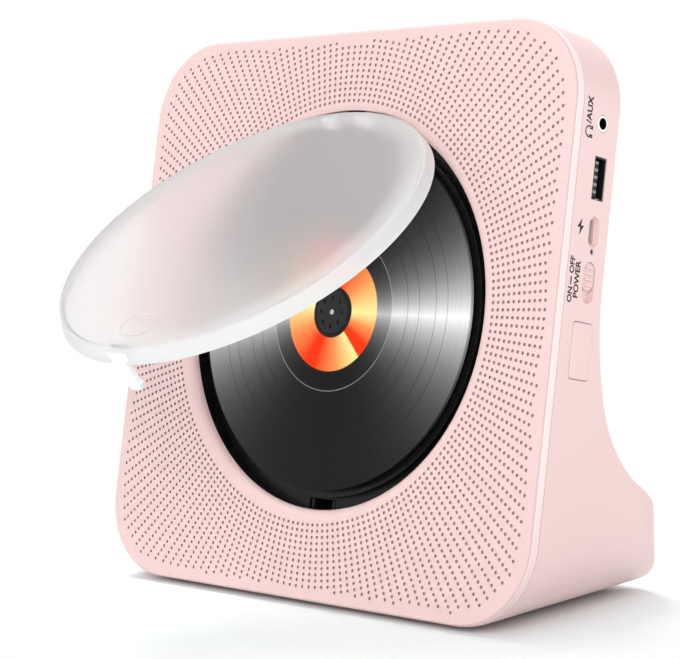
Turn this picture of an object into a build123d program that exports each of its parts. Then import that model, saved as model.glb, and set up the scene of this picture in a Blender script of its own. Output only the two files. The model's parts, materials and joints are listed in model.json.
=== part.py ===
"""A desk disc player: a leaning perforated front, a round disc well and a frosted lid.

Sizes are millimetres and angles are degrees. The player stands on the plane Z = 0 and faces -Y.
Most places are given on the leaning front panel: U to the right, V up the panel, both from
the disc's axis, and D the depth behind the panel's front face.
"""
import os
from math import acos, cos, pi, radians, sin, sqrt, tan

from build123d import *

# ------------------------------------------------------------------ housing sizes
LEAN = 12.2                 # backward lean of the front panel
PANEL_CORNER = 27.3         # radius of the panel's corners
PANEL_DROP = 0.5            # the panel's middle lies this far below the disc's axis
PANEL_EDGE = 1.1            # rounding round the front face
SEAM = 4.0                  # depth of the seam between front panel and rear shell
SEAM_LINE = 0.4             # bevel that shows the seam as a fine groove
SKIN = 1.6                  # thickness of the perforated front
WALL = 2.2                  # thickness of the housing's other walls
SIDE_ROOM = 3.6             # between a speaker's corner and the housing's wall
BACK_ROOM = 1.3             # between the mechanism and the housing's back
FLARE_RISE = 110.1          # from the panel's lower edge to where the back sweeps out
FLARE_UPPER_RADIUS = 101.2
FLARE_UPPER_TURN = 21.0
FLARE_LOWER_RADIUS = 42.9
SLOPE = 32.6                # fall of the foot's upper side
FOOT_REACH = 65.7           # from the disc's centre back to the foot's rear face
FOOT_BACK_RADIUS = 12.0     # rounding between the slope and the rear face
FOOT_PLAN_RADIUS = 23.8     # rounding of the foot's rear corners, seen from above
FOOT_LOWER_RADIUS = 9.0     # rounding of the foot's lower rear edge

# ------------------------------------------------------------------ resting ring
RING_MIDDLE = 22.5          # from the disc's centre back to the middle of the ring
RING_LENGTH = 128.0
RING_WIDTH = 62.0
RING_CORNER = 12.0
RING_SECTION = 5.0
RING_PROUD = 1.5            # the housing stands this far above the table
RING_GROOVE = 0.8

# ------------------------------------------------------------------ disc and well
DISC_ROOM = 6.4             # between the disc's edge and the wall of its well
RIM_ROLL = 3.9              # rolled edge from the front face into the well
RIM_LAND = 6.6              # solid rim behind the perforated front, round the well
TRAY_WALL = 1.5
TRAY_FLANGE = 5.6
FLOOR_ROOM = 1.7            # between the disc and the floor under it
GROOVE_WIDTH = 4.4          # groove round the disc
GROOVE_DROP = 2.4           # from the floor down to the groove
TABLE_ROOM = 2.0            # round the turntable, to the floor's opening
DISC_RADIUS = 60.0
DISC_BORE = 7.5
DISC_THICKNESS = 1.2
DISC_DEPTH = 3.3            # depth of the disc's printed face
HUB_FIT = 0.15              # the hub is this much smaller than the disc's bore
HUB_RISE = 0.5              # the hub stands this far above the disc
HUB_ROUND = 0.8
HUB_MARK_COUNT = 8
HUB_MARK_INSET = 2.7        # from the disc's bore to the circle of the hub's holes
HUB_MARK_RADIUS = 0.7
BALL_RADIUS = 0.8
BALL_COUNT = 3
TABLE_RADIUS = 14.0
TABLE_THICKNESS = 1.3
PAD_THICKNESS = 0.5
PAD_INNER = 9.0
SHAFT_RADIUS = 1.0
SHAFT_RISE = 0.2            # the shaft's tip stands above the hub

# ------------------------------------------------------------------ lid and hinge
LID_OPEN = 44.8             # angle between the lid and the panel
LID_PLAY = 0.5              # between the closed lid and the well
LID_FLARE = 1.7             # the skirt's free edge is this much wider than the flat face
LID_EDGE = 1.5              # rounding between face and skirt
LID_DEPTH = 5.1
LID_SINK = 0.7              # the closed lid lies this far behind the panel's face
LID_THICKNESS = 1.5
LID_MARK_INSET = 11.8       # from the flat face's edge to the middle of the thumb mark
LID_MARK_LENGTH = 15.6
LID_MARK_WIDTH = 11.6
LID_MARK_LINE = 1.0
LID_MARK_RISE = 0.25
HINGE_DEPTH = 5.2
PIN_RADIUS = 1.0
PIN_HALF = 16.5
KNUCKLE_RADIUS = 2.5
ARM_PLACE = 8.0             # middle of each hinge arm, from the player's middle
ARM_WIDTH = 6.0
ARM_REACH = 6.0             # from the hinge's axis to the arm's root
ARM_ROOT = 1.9
ARM_TOP = 3.0               # depth of the arm's outer side below the lid's face
ARM_BOTTOM = 5.2
EAR_PLACE = 14.0
EAR_WIDTH = 4.0
POCKET_HALF = 18.0
POCKET_BELOW = 4.6          # from the hinge's axis to the lower and upper sides of its pocket
POCKET_ABOVE = 4.0
POCKET_FLOOR = 10.4
SPRING_HALF = 4.3
RELIEF_HALF = 26.0          # the well's rolled edge is cut back here, where the lid swings
RELIEF = 2.0
SPRING_RADIUS = 2.3
SPRING_WIRE = 0.8

# ------------------------------------------------------------------ latch
PRONG_INSET = 1.8           # from the skirt's free edge to the prong's middle
PRONG_THICKNESS = 1.8
PRONG_HALF = 2.2
PRONG_TIP = 15.8            # depth of the tip below the lid's face
PRONG_BARB = 1.0
PRONG_BARB_HEIGHT = 2.6
LATCH_HALF = 7.0
LATCH_BELOW = 3.5           # from the prong's middle to the latch's lower and upper sides
LATCH_ABOVE = 2.5
LATCH_WALL = 1.0
JAW_WIDTH = 1.1
JAW_PLACE = 4.7
JAW_DROP = 0.4              # the jaws stand this far below the groove's floor
JAW_BAR = 1.0               # thickness of the bar that joins the jaws
JAW_TRAVEL = 1.5

# ------------------------------------------------------------------ mechanism
CHASSIS_RIGHT = 25.0
CHASSIS_LOW = -29.0
CHASSIS_HIGH = 39.0
CHASSIS_ROOM = 0.7          # between the gear wheel and the chassis
CHASSIS_THICKNESS = 1.0
CHASSIS_EDGE = 0.5          # the chassis reaches this far past the rods
MOUNT_INSET = 6.0           # from the chassis's sides to its rubber mounts
GROMMET_RADIUS = 3.4
GROMMET_NECK = 2.2
GROMMET_LIP = 1.2
MECHANISM_SCREW_RADIUS = 1.0
SPINDLE_MOTOR_RADIUS = 12.0
SPINDLE_MOTOR_DEPTH = 6.0
SPINDLE_MOTOR_ROUND = 1.0
MOTOR_BOSS = 3.5            # bearing boss that passes through the chassis
MOTOR_BOSS_RISE = 1.5
MOTOR_BASE = 1.0            # metal left behind the shaft's end
ROD_RADIUS = 1.2
ROD_PLACES = (-14.5, 12.6)
ROD_RIGHT = -9.0
LUG_THICKNESS = 2.0
LUG_HALF = 2.2
LUG_ROOM = 1.0              # between the sled, fully out, and the rods' lugs
SLED_OUTER = 22.5           # from the lens to the sled's outer and inner ends
SLED_INNER = 3.9
SLED_LOW = -17.6
SLED_GAP = 0.6              # between the chassis and the sled
SLED_THICKNESS = 5.8
SLED_SHELF = 1.4
SLED_SHELF_REACH = 1.2      # the shelf reaches this far past the rack's pitch line
LENS_START = 23.5           # from the disc's axis to the lens, sled fully in
LENS_BARREL = 2.6
LENS_RADIUS = 1.9
LENS_DISTANCE = 1.9         # between the disc and the lens
LENS_SINK = 0.4             # the lens lies this far inside its holder
LENS_THICKNESS = 1.2
LENS_ROUND = 0.5
LENS_RIM = 0.6
READ_MARGIN = 2.0           # unread edge of the disc
RACK_MODULE = 0.6
RACK_PITCH_LINE = 17.0
RACK_SPARE = 2.5            # rack left over at the end of the travel
RACK_BAR = 1.1
RACK_DROP = 0.6
RACK_FACE = 2.2
SLED_PINION_TEETH = 12
WHEEL_MODULE = 0.4
WHEEL_TEETH = 40
MOTOR_TEETH = 10
WHEEL_GAP = 0.8             # between the tray and the gear wheel
WHEEL_FACE = 1.8
WHEEL_ROOM = 4.6            # between the wheel and the step in the tray
COLLAR_RADIUS = 2.4
GEAR_ANGLE = 60.0           # direction from the sled gear to the motor pinion
GEAR_POST_RADIUS = 0.8
GEAR_POST_RISE = 0.4
PRESSURE_ANGLE = 20.0
SMALL_ADDENDUM = 0.55       # tooth height over pitch line of rack and wheel, in modules
FULL_ADDENDUM = 1.0
DEDENDUM = 1.25
BACKLASH = 0.12
SLED_MOTOR_RADIUS = 5.4
SLED_MOTOR_SHAFT = 0.5
BRIDGE = 1.2                # thickness of the bracket that holds the gear's post
BRIDGE_BELOW = 1.5
BRIDGE_ABOVE = 3.0
SLED_MOTOR_DEPTH = 7.0

# ------------------------------------------------------------------ speakers
SPEAKER_ROOM = 3.32         # between the well's flange and a speaker
SPEAKER_SEAT = 5.0
SPEAKER_FLANGE = 36.0
SPEAKER_FLANGE_CORNER = 3.0
SPEAKER_FLANGE_THICKNESS = 1.2
SPEAKER_HOLE_CIRCLE = 22.0
SPEAKER_CONE = 17.0
SPEAKER_NECK = 8.0
SPEAKER_DEPTH = 11.0
SPEAKER_PAPER = 0.5
BASKET_SHEET = 1.0
CONE_INSET = 1.8
CONE_RISE = 2.5             # between the cone's neck and the magnet
MAGNET_ROUND = 0.8
MAGNET_RADIUS = 11.5
MAGNET_THICKNESS = 6.0
SPEAKER_POST = 2.4
SMALL_SCREW = 1.0
SMALL_HEAD = 2.0
SMALL_HEAD_HEIGHT = 1.2

# ------------------------------------------------------------------ case screws
CASE_TOP_INSET = 16.0       # upper screws, from the sides and from the square top
CASE_SIDE_INSET = 16.0      # lower screws, from the sides
CASE_SIDE_V = -37.0
CASE_POST = 3.6
CASE_HEAD_DEPTH = 12.0
CASE_POST_FRONT = 6.2
CASE_SCREW = 1.2
CASE_HEAD = 2.4
CASE_HEAD_HEIGHT = 1.6
SCREW_BLIND = 0.9           # metal or plastic left in front of a blind screw hole

# ------------------------------------------------------------------ side sockets and controls
JACK_V = 63.2
JACK_RISE = 4.3             # from the side board up to the middle of the bore
JACK_BORE = 1.8
JACK_BORE_LENGTH = 14.0
JACK_NOSE = 2.5
JACK_BODY = 7.0
JACK_BACK = 1.0             # thickness of the jack's body behind the bore
USB_V = 46.0
USB_RISE = 3.3
USB_WIDTH = 13.2
USB_HEIGHT = 5.9
USB_LENGTH = 13.5
USB_SHEET = 0.4
USB_TONGUE = 1.8
SOCKET_TONGUE_INSET = 1.2   # from a socket's mouth to its tongue
SOCKET_TONGUE_ROOM = 0.6    # beside the tongue
SOCKET_LEG = 2.0
CHARGE_V = 29.3
CHARGE_RISE = 3.3
CHARGE_WIDTH = 8.9
CHARGE_HEIGHT = 3.3
CHARGE_LENGTH = 7.5
CHARGE_SHEET = 0.4
CHARGE_TONGUE = 0.7
CHARGE_RECESS_WIDTH = 9.6
CHARGE_RECESS_HEIGHT = 5.0
CHARGE_RECESS = 1.0         # depth of the recess round the charging socket
LED_V = 23.1
LED_RADIUS = 0.7
LED_STEM = 2.0              # length of the lamp's round nose behind the wall
LED_BODY = 2.4
SWITCH_V = 13.4
SWITCH_RISE = 3.4
SWITCH_LENGTH = 12.0
SWITCH_HEIGHT = 2.5         # from the lever's middle to the switch's outer side
SWITCH_REACH = (8.0, 3.0)   # from the wall to the switch's far and near sides
SWITCH_WELL = 3.0           # depth of the opening for the lever
SWITCH_SLOT = 13.0
SWITCH_SLOT_WIDTH = 6.1
SWITCH_RECESS = 1.6         # depth of the recess that the knob slides in
KNOB_LENGTH = 8.7
KNOB_TRAVEL = 3.8
KNOB_SINK = 0.4             # the knob's face lies this far below the wall
KNOB_RIB_COUNT = 4
KNOB_RIB_PITCH = 1.8
KNOB_RIB = 0.6
LEVER = 1.0                 # half the width of the switch's lever
LEVER_OFFSET = 1.0          # the lever stands this far above the knob's middle
KEY_V = -8.0
KEY_SIDE_RISE = 4.0
KEY_LENGTH = 17.6
KEY_WIDTH = 9.6
KEY_CORNER = 1.2
KEY_ROUND = 0.4
KEY_FLANGE = 1.2            # thickness of the flange behind the wall
KEY_FLANGE_REACH = 1.0
KEY_TRAVEL = 0.6
KEY_RISE = 0.4              # the side key stands this far out of the wall
BOARD = 1.2                 # circuit board thickness
BOARD_ROOM = 0.5            # between the side board and the housing's back
SIDE_BOARD_LOW = -20.0
SIDE_BOARD_HIGH = 70.0
SIDE_BOARD_REACH = 22.5     # from the housing's side to the board's inner edge
SIDE_BOARD_HOLES = (20.5, 66.0)

# ------------------------------------------------------------------ keys on the top
TOP_KEYS = ("key_previous", "key_play", "key_next", "key_volume_down", "key_volume_up")
TOP_KEY_PITCH = 20.0
TOP_KEY_LENGTH = 13.0
TOP_KEY_WIDTH = 6.0
TOP_KEY_DEPTH = 13.5
TOP_KEY_RISE = 0.8
TOP_KEY_LIP = 1.0
KEY_SWITCH = 6.0
KEY_SWITCH_HEIGHT = 3.4
KEY_PLUNGER = 1.6
KEY_PLUNGER_RISE = 1.0
TOP_KEY_ROUND = 0.5
KEY_BOARD_DROP = 9.5        # from the panel's top to the underside of the key board
KEY_BOARD_HALF = 57.0
LEDGE = 8.0                 # width of the ledges that carry the key board
LEDGE_HEIGHT = 3.5

# ------------------------------------------------------------------ foot contents
CELL_RADIUS = 9.2
CELL_LENGTH = 65.0
CELL_RISE = 5.5             # from the housing's underside to the cells
CELL_TRAY = 1.2
CELL_FOOT = (3.0, 1.0)      # half length and half width of the tray's feet
DOOR_LENGTH = 84.0
DOOR_WIDTH = 40.0
DOOR_CORNER = 4.0
DOOR_LEDGE = 2.0
MAIN_BOARD_LENGTH = 92.0
MAIN_BOARD_WIDTH = 34.0
MAIN_BOARD_BACK = 28.5      # from the disc's centre back to the board's middle
MAIN_BOARD_RISE = 26.5      # from the housing's underside to the board
MAIN_POST = 2.6
MAIN_SCREW = 6.0            # depth of the screws below the board
CHIP_SIZE = 12.0
CHIP_HEIGHT = 1.4
CHIP_PLACES = ((-16.0, CHIP_SIZE), (8.0, 0.6 * CHIP_SIZE))
CAN_RADIUS = 3.0
CAN_INSETS = (14.0, 22.0)   # from the board's right end
CAN_HEIGHT = 3.2

# ------------------------------------------------------------------ clearances
RUNNING = 0.05              # radial, shaft in a hole
SEATED = 0.02               # radial, pin held in its own body
GAP = 0.3                   # between a moving piece and what it passes
SLIDE_GAP = 0.2             # between a key or knob and its opening
HOLE_GAP = 0.3              # radial, screw through a plain hole

# ------------------------------------------------------------------ places worked out
WELL_RADIUS = DISC_RADIUS + DISC_ROOM
SPEAKER_PLACE = (WELL_RADIUS + TRAY_FLANGE + SPEAKER_ROOM + SPEAKER_FLANGE / 2) / sqrt(2)
SPEAKER_REACH = SPEAKER_FLANGE / sqrt(2) - (sqrt(2) - 1) * SPEAKER_FLANGE_CORNER
PANEL_SIZE = 2 * (SPEAKER_PLACE + SPEAKER_REACH + SIDE_ROOM + WALL)
UP = Vector(0, sin(radians(LEAN)), cos(radians(LEAN)))
OUT = Vector(0, -cos(radians(LEAN)), sin(radians(LEAN)))
HALF = PANEL_SIZE / 2
PANEL_LOW = -HALF - PANEL_DROP
PANEL_TOP = HALF - PANEL_DROP
FLARE_START = PANEL_LOW + FLARE_RISE
CASE_SCREW_PLACES = (
    (HALF - CASE_TOP_INSET, HALF - CASE_TOP_INSET),
    (-HALF + CASE_TOP_INSET, HALF - CASE_TOP_INSET),
    (HALF - CASE_SIDE_INSET, CASE_SIDE_V),
    (-HALF + CASE_SIDE_INSET, CASE_SIDE_V),
)
UNDERSIDE = RING_PROUD
DISC_Y = -RING_MIDDLE
DISC_Z = UNDERSIDE - PANEL_LOW * UP.Z + SEAM * OUT.Z
CENTRE = Vector(0, DISC_Y, DISC_Z)
PANEL = Plane(origin=CENTRE, x_dir=(1, 0, 0), z_dir=OUT)
SIDE = Plane(origin=CENTRE, x_dir=UP, z_dir=(1, 0, 0))
KEY_PLANE = Plane(origin=CENTRE, x_dir=(1, 0, 0), z_dir=UP)
SECTION = Plane(origin=CENTRE, x_dir=(1, 0, 0), z_dir=-UP)
DISC_AXIS = Axis(CENTRE, OUT)
FLOOR = Plane.XY.offset(UNDERSIDE)

LID_RADIUS = WELL_RADIUS - LID_PLAY
LID_FACE_RADIUS = LID_RADIUS - LID_FLARE
HINGE_V = WELL_RADIUS
ARM_START = HINGE_V - ARM_REACH
PRONG_PLACE = LID_RADIUS - PRONG_INSET
LATCH_LOW = -PRONG_PLACE - LATCH_BELOW
LATCH_HIGH = -PRONG_PLACE + LATCH_ABOVE
JAW_BOTTOM = LID_SINK + PRONG_TIP + GAP + JAW_BAR / 2
HINGE = CENTRE + UP * HINGE_V - OUT * HINGE_DEPTH
LID_UP = UP * cos(radians(LID_OPEN)) - OUT * sin(radians(LID_OPEN))
LID_OUT = UP * sin(radians(LID_OPEN)) + OUT * cos(radians(LID_OPEN))
LID = Plane(
    origin=HINGE - LID_UP * HINGE_V + LID_OUT * (HINGE_DEPTH - LID_SINK),
    x_dir=(1, 0, 0),
    z_dir=LID_OUT,
)
LID_SECTION = Plane(origin=LID.origin, x_dir=(1, 0, 0), z_dir=-LID_UP)
LID_AXIS = Axis(LID.origin, LID_OUT)

HUB_RADIUS = DISC_BORE - HUB_FIT
HUB_TOP = DISC_DEPTH - HUB_RISE
TABLE_TOP = DISC_DEPTH + DISC_THICKNESS
TABLE_BOTTOM = TABLE_TOP + TABLE_THICKNESS + PAD_THICKNESS
TRAY_FLOOR = TABLE_TOP + FLOOR_ROOM
TRAY_STEP_RADIUS = WELL_RADIUS - GROOVE_WIDTH
GROOVE_FLOOR = TRAY_FLOOR + GROOVE_DROP
WHEEL_TOP = TRAY_FLOOR + TRAY_WALL + WHEEL_GAP
WHEEL_DEPTHS = (WHEEL_TOP, WHEEL_TOP + WHEEL_FACE)
CHASSIS_DEPTH = WHEEL_DEPTHS[1] + CHASSIS_ROOM
CHASSIS_BACK = CHASSIS_DEPTH + CHASSIS_THICKNESS
INNER_BACK = CHASSIS_BACK + SLED_MOTOR_DEPTH + BACK_ROOM
BODY_DEPTH = INNER_BACK + WALL
SLED_TRAVEL = DISC_RADIUS - READ_MARGIN - LENS_START
SLED_LEFT = -LENS_START - SLED_OUTER
SLED_RIGHT = -LENS_START + SLED_INNER
SLED_TOP_DEPTH = CHASSIS_BACK + SLED_GAP
SLED_BOTTOM_DEPTH = SLED_TOP_DEPTH + SLED_THICKNESS
ROD_DEPTH = SLED_TOP_DEPTH + SLED_THICKNESS / 2
ROD_LEFT = SLED_LEFT - SLED_TRAVEL - LUG_ROOM - LUG_THICKNESS
CHASSIS_LEFT = ROD_LEFT - CHASSIS_EDGE
MOUNT_PLACES = [
    (u, v)
    for u in (CHASSIS_LEFT + MOUNT_INSET, CHASSIS_RIGHT - MOUNT_INSET)
    for v in (CHASSIS_LOW + MOUNT_INSET, CHASSIS_HIGH - MOUNT_INSET)
]
LENS_DEPTH = TABLE_TOP + LENS_DISTANCE
SLOT_END = LENS_START + LENS_BARREL + SLED_TRAVEL + GAP
SLED_PINION_RADIUS = RACK_MODULE * SLED_PINION_TEETH / 2
WHEEL_RADIUS = WHEEL_MODULE * WHEEL_TEETH / 2
MOTOR_PINION_RADIUS = WHEEL_MODULE * MOTOR_TEETH / 2
GEAR_V = RACK_PITCH_LINE + SLED_PINION_RADIUS
GEAR_REACH = (
    TRAY_STEP_RADIUS - TRAY_WALL - WHEEL_ROOM - WHEEL_RADIUS - SMALL_ADDENDUM * WHEEL_MODULE
)
GEAR_PLACE = -sqrt(GEAR_REACH**2 - GEAR_V**2)
RACK_DEPTHS = (SLED_TOP_DEPTH + RACK_DROP, SLED_TOP_DEPTH + RACK_DROP + RACK_FACE)
RACK_END = GEAR_PLACE + SLED_TRAVEL + RACK_SPARE
GEAR_CENTRES = WHEEL_RADIUS + MOTOR_PINION_RADIUS
SLED_MOTOR_U = GEAR_PLACE + GEAR_CENTRES * cos(radians(GEAR_ANGLE))
SLED_MOTOR_V = GEAR_V + GEAR_CENTRES * sin(radians(GEAR_ANGLE))
SIDE_BOARD_INNER = HALF - SIDE_BOARD_REACH
SIDE_BOARD_EDGE = HALF - WALL - KEY_TRAVEL - GAP
SIDE_BOARD_DEPTH = INNER_BACK - BOARD_ROOM - BOARD
JACK_DEPTH = SIDE_BOARD_DEPTH - JACK_RISE
USB_DEPTH = SIDE_BOARD_DEPTH - USB_RISE
CHARGE_DEPTH = SIDE_BOARD_DEPTH - CHARGE_RISE
SWITCH_DEPTH = SIDE_BOARD_DEPTH - SWITCH_RISE
KEY_DEPTH = SIDE_BOARD_DEPTH - KEY_SIDE_RISE
KEY_BOARD_V = PANEL_TOP - KEY_BOARD_DROP
LATCH_BOTTOM = JAW_BOTTOM + JAW_BAR + JAW_TRAVEL + GAP
MAIN_BOARD_Y = DISC_Y + MAIN_BOARD_BACK
KNOB_V = SWITCH_V + (SWITCH_SLOT - KNOB_LENGTH) / 2 - SLIDE_GAP
LEVER_V = KNOB_V + LEVER_OFFSET
SWITCH_BODY = (HALF - WALL - SWITCH_REACH[0], HALF - WALL - SWITCH_REACH[1])
TOP_KEY_PLACES = tuple(TOP_KEY_PITCH * (n - (len(TOP_KEYS) - 1) / 2) for n in range(len(TOP_KEYS)))


# ------------------------------------------------------------------ helpers
def save(piece, name):
    """Label a finished piece and write it to its own file."""
    piece.part.label = name
    export_step(piece.part, f"parts/{name}.step")


def section(v, depth):
    """Y and Z of a place on the player's middle plane."""
    place = CENTRE + UP * v - OUT * depth
    return place.Y, place.Z


def box(plane, across, along, heights, mode=Mode.ADD):
    """Box between two places in each of a plane's three directions."""
    with BuildSketch(plane.offset(heights[0])) as face:
        with Locations(((across[0] + across[1]) / 2, (along[0] + along[1]) / 2)):
            Rectangle(across[1] - across[0], along[1] - along[0])
    extrude(face.sketch, amount=heights[1] - heights[0], mode=mode)


def rod(plane, place, radius, heights, mode=Mode.ADD):
    """Round bar along a plane's normal."""
    with BuildSketch(plane.offset(heights[0])) as face:
        with Locations(place):
            Circle(radius)
    extrude(face.sketch, amount=heights[1] - heights[0], mode=mode)


def block(u, v, depths, mode=Mode.ADD):
    """Box placed on the front panel, between two depths behind it."""
    box(PANEL, u, v, (-depths[1], -depths[0]), mode)


def post(u, v, radius, depths, mode=Mode.ADD):
    """Round bar square to the front panel, between two depths behind it."""
    rod(PANEL, (u, v), radius, (-depths[1], -depths[0]), mode)


def side_block(v, depths, x, mode=Mode.ADD):
    """Box between two depths and two distances to the right of the middle."""
    box(SIDE, v, (-depths[1], -depths[0]), x, mode)


def side_rod(v, depth, radius, x, mode=Mode.ADD):
    """Round bar that runs from left to right."""
    rod(SIDE, (v, -depth), radius, x, mode)


def pill(plane, place, length, width, heights, mode=Mode.ADD):
    """Bar with round ends, long in the plane's first direction."""
    with BuildSketch(plane.offset(heights[0])) as face:
        with Locations(place):
            SlotOverall(length, width)
    extrude(face.sketch, amount=heights[1] - heights[0], mode=mode)


def screw(plane, place, radius, head, head_height, heights):
    """Pan-head screw whose head lies past the end of its shank."""
    rod(plane, place, radius, heights)
    tip = heights[1] + (head_height if heights[1] > heights[0] else -head_height)
    rod(plane, place, head, (heights[1], tip))


def panel_outline(inset):
    """Rounded square of the front panel, inside its edge, in the current sketch."""
    with Locations((0, -PANEL_DROP)):
        RectangleRounded(PANEL_SIZE - 2 * inset, PANEL_SIZE - 2 * inset, PANEL_CORNER - inset)


def housing_block(inset, front):
    """Solid housing, inside its outer faces, from the depth FRONT to the back of the foot."""
    depth = BODY_DEPTH - inset
    rear = DISC_Y + FOOT_REACH - inset
    low = UNDERSIDE + inset
    reach = 2 * PANEL_SIZE
    with BuildPart() as solid:
        with BuildSketch(panel(front)) as upper:
            panel_outline(inset)
            with Locations((0, PANEL_SIZE)):
                Rectangle(reach, 2 * PANEL_SIZE, mode=Mode.INTERSECT)
        extrude(upper.sketch, amount=-reach)
        with BuildSketch(panel(SEAM)) as lower:
            panel_outline(inset)
            with Locations((0, -PANEL_SIZE)):
                Rectangle(reach, 2 * PANEL_SIZE, mode=Mode.INTERSECT)
        extrude(lower.sketch, amount=reach, dir=(0, 1, 0))
        if front < SEAM:
            extrude(lower.sketch, amount=SEAM - front)
        with BuildSketch(Plane.YZ) as profile:
            with BuildLine():
                back = Line(section(PANEL_SIZE, depth), section(FLARE_START, depth))
                bend = JernArc(back @ 1, back % 1, FLARE_UPPER_RADIUS + inset, FLARE_UPPER_TURN)
                rest = 90 + LEAN - SLOPE - FLARE_UPPER_TURN
                flare = JernArc(bend @ 1, bend % 1, FLARE_LOWER_RADIUS + inset, rest)
                end = flare @ 1
                corner = (rear, end.Y - (rear - end.X) * tan(radians(SLOPE)))
                Line(end, corner)
                wall = Line(corner, (rear, low))
                toe = section((low - DISC_Z + front * OUT.Z) / UP.Z, front)
                Line(wall @ 1, toe)
                Line(toe, section(PANEL_SIZE, front))
                Line(section(PANEL_SIZE, front), back @ 0)
            make_face()
            fillet(profile.vertices().sort_by_distance(corner)[0], FOOT_BACK_RADIUS - inset)
            fillet(profile.vertices().sort_by_distance((rear, low))[0], FOOT_LOWER_RADIUS - inset)
        extrude(profile.sketch, amount=PANEL_SIZE, both=True, mode=Mode.INTERSECT)
        with BuildSketch(Plane.XY) as plan:
            with Locations((0, rear - reach / 2)):
                RectangleRounded(PANEL_SIZE - 2 * inset, reach, FOOT_PLAN_RADIUS - inset)
        extrude(plan.sketch, amount=reach, mode=Mode.INTERSECT)
    return solid.part


def panel(depth):
    """Plane parallel to the front panel, behind its face."""
    return PANEL.offset(-depth)


def involute(angle):
    """Roll angle of an involute at a pressure angle, both in radians."""
    return tan(angle) - angle


def tooth(module, teeth, addendum, root):
    """Outline of one gear tooth that points along the first direction."""
    pitch = module * teeth / 2
    base = pitch * cos(radians(PRESSURE_ANGLE))
    tip = pitch + addendum * module
    low = max(base, root)
    half = pi / (2 * teeth) - BACKLASH / (4 * pitch) + involute(radians(PRESSURE_ANGLE))
    steps = 5
    flank = [(root * cos(half), root * sin(half))] if base > root else []
    for step in range(steps):
        radius = low + (tip - low) * step / (steps - 1)
        turn = half - involute(acos(min(1.0, base / radius)))
        flank.append((radius * cos(turn), radius * sin(turn)))
    mirrored = [(x, -y) for x, y in reversed(flank)]
    inner = root / 2
    return [(inner, 0)] + flank + mirrored


def gear(place, module, teeth, addendum, bore, start, depths):
    """Spur gear square to the front panel, with one tooth at the angle START."""
    root = module * teeth / 2 - DEDENDUM * module
    with BuildSketch(panel(depths[1])) as outline:
        with Locations(place):
            Circle(root)
        with Locations(place):
            with PolarLocations(0, teeth, start_angle=start):
                Polygon(*tooth(module, teeth, addendum, root), align=None)
        if bore:
            with Locations(place):
                Circle(bore, mode=Mode.SUBTRACT)
    extrude(outline.sketch, amount=depths[1] - depths[0])


os.makedirs("parts", exist_ok=True)


# ------------------------------------------------------------------ front panel
SPEAKERS = {"left": (-SPEAKER_PLACE, -SPEAKER_PLACE), "right": (SPEAKER_PLACE, -SPEAKER_PLACE)}
SPEAKER_HOLES = [
    (u + SPEAKER_HOLE_CIRCLE * cos(radians(turn)), v + SPEAKER_HOLE_CIRCLE * sin(radians(turn)))
    for u, v in SPEAKERS.values()
    for turn in (0, 90, 180, 270)
]

with BuildPart() as front_grille:
    with BuildSketch(panel(SEAM)):
        panel_outline(0)
    extrude(amount=SEAM)
    fillet(front_grille.faces().sort_by(DISC_AXIS)[-1].outer_wire().edges(), PANEL_EDGE)
    chamfer(front_grille.faces().sort_by(DISC_AXIS)[0].outer_wire().edges(), SEAM_LINE)
    with BuildSketch(panel(SEAM)) as pocket:
        panel_outline(WALL)
        Circle(WELL_RADIUS + RIM_LAND, mode=Mode.SUBTRACT)
    extrude(pocket.sketch, amount=SEAM - SKIN, mode=Mode.SUBTRACT)
    post(0, 0, WELL_RADIUS, (-1, SEAM + 1), Mode.SUBTRACT)
    fillet(front_grille.faces().sort_by(DISC_AXIS)[-1].inner_wires()[0].edges(), RIM_ROLL)
    block((-POCKET_HALF, POCKET_HALF), (0, HINGE_V + POCKET_ABOVE),
          (HINGE_DEPTH - KNUCKLE_RADIUS - GAP, SEAM + 1), Mode.SUBTRACT)
    with BuildSketch(panel(SEAM + 1)) as relief:
        Circle(WELL_RADIUS + RELIEF)
        with Locations((0, WELL_RADIUS + RELIEF)):
            Rectangle(2 * RELIEF_HALF, 2 * WELL_RADIUS, mode=Mode.INTERSECT)
    extrude(relief.sketch, amount=SEAM + 2, mode=Mode.SUBTRACT)
    for u, v in SPEAKER_HOLES:
        post(u, v, SPEAKER_POST, (SKIN, SPEAKER_SEAT))
        post(u, v, SMALL_SCREW + SEATED, (SKIN + SCREW_BLIND, SPEAKER_SEAT), Mode.SUBTRACT)
    for u, v in CASE_SCREW_PLACES:
        post(u, v, CASE_POST, (SKIN, CASE_POST_FRONT))
        post(u, v, CASE_SCREW + SEATED, (SKIN + SCREW_BLIND, CASE_POST_FRONT), Mode.SUBTRACT)
save(front_grille, "front_grille")


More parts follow.
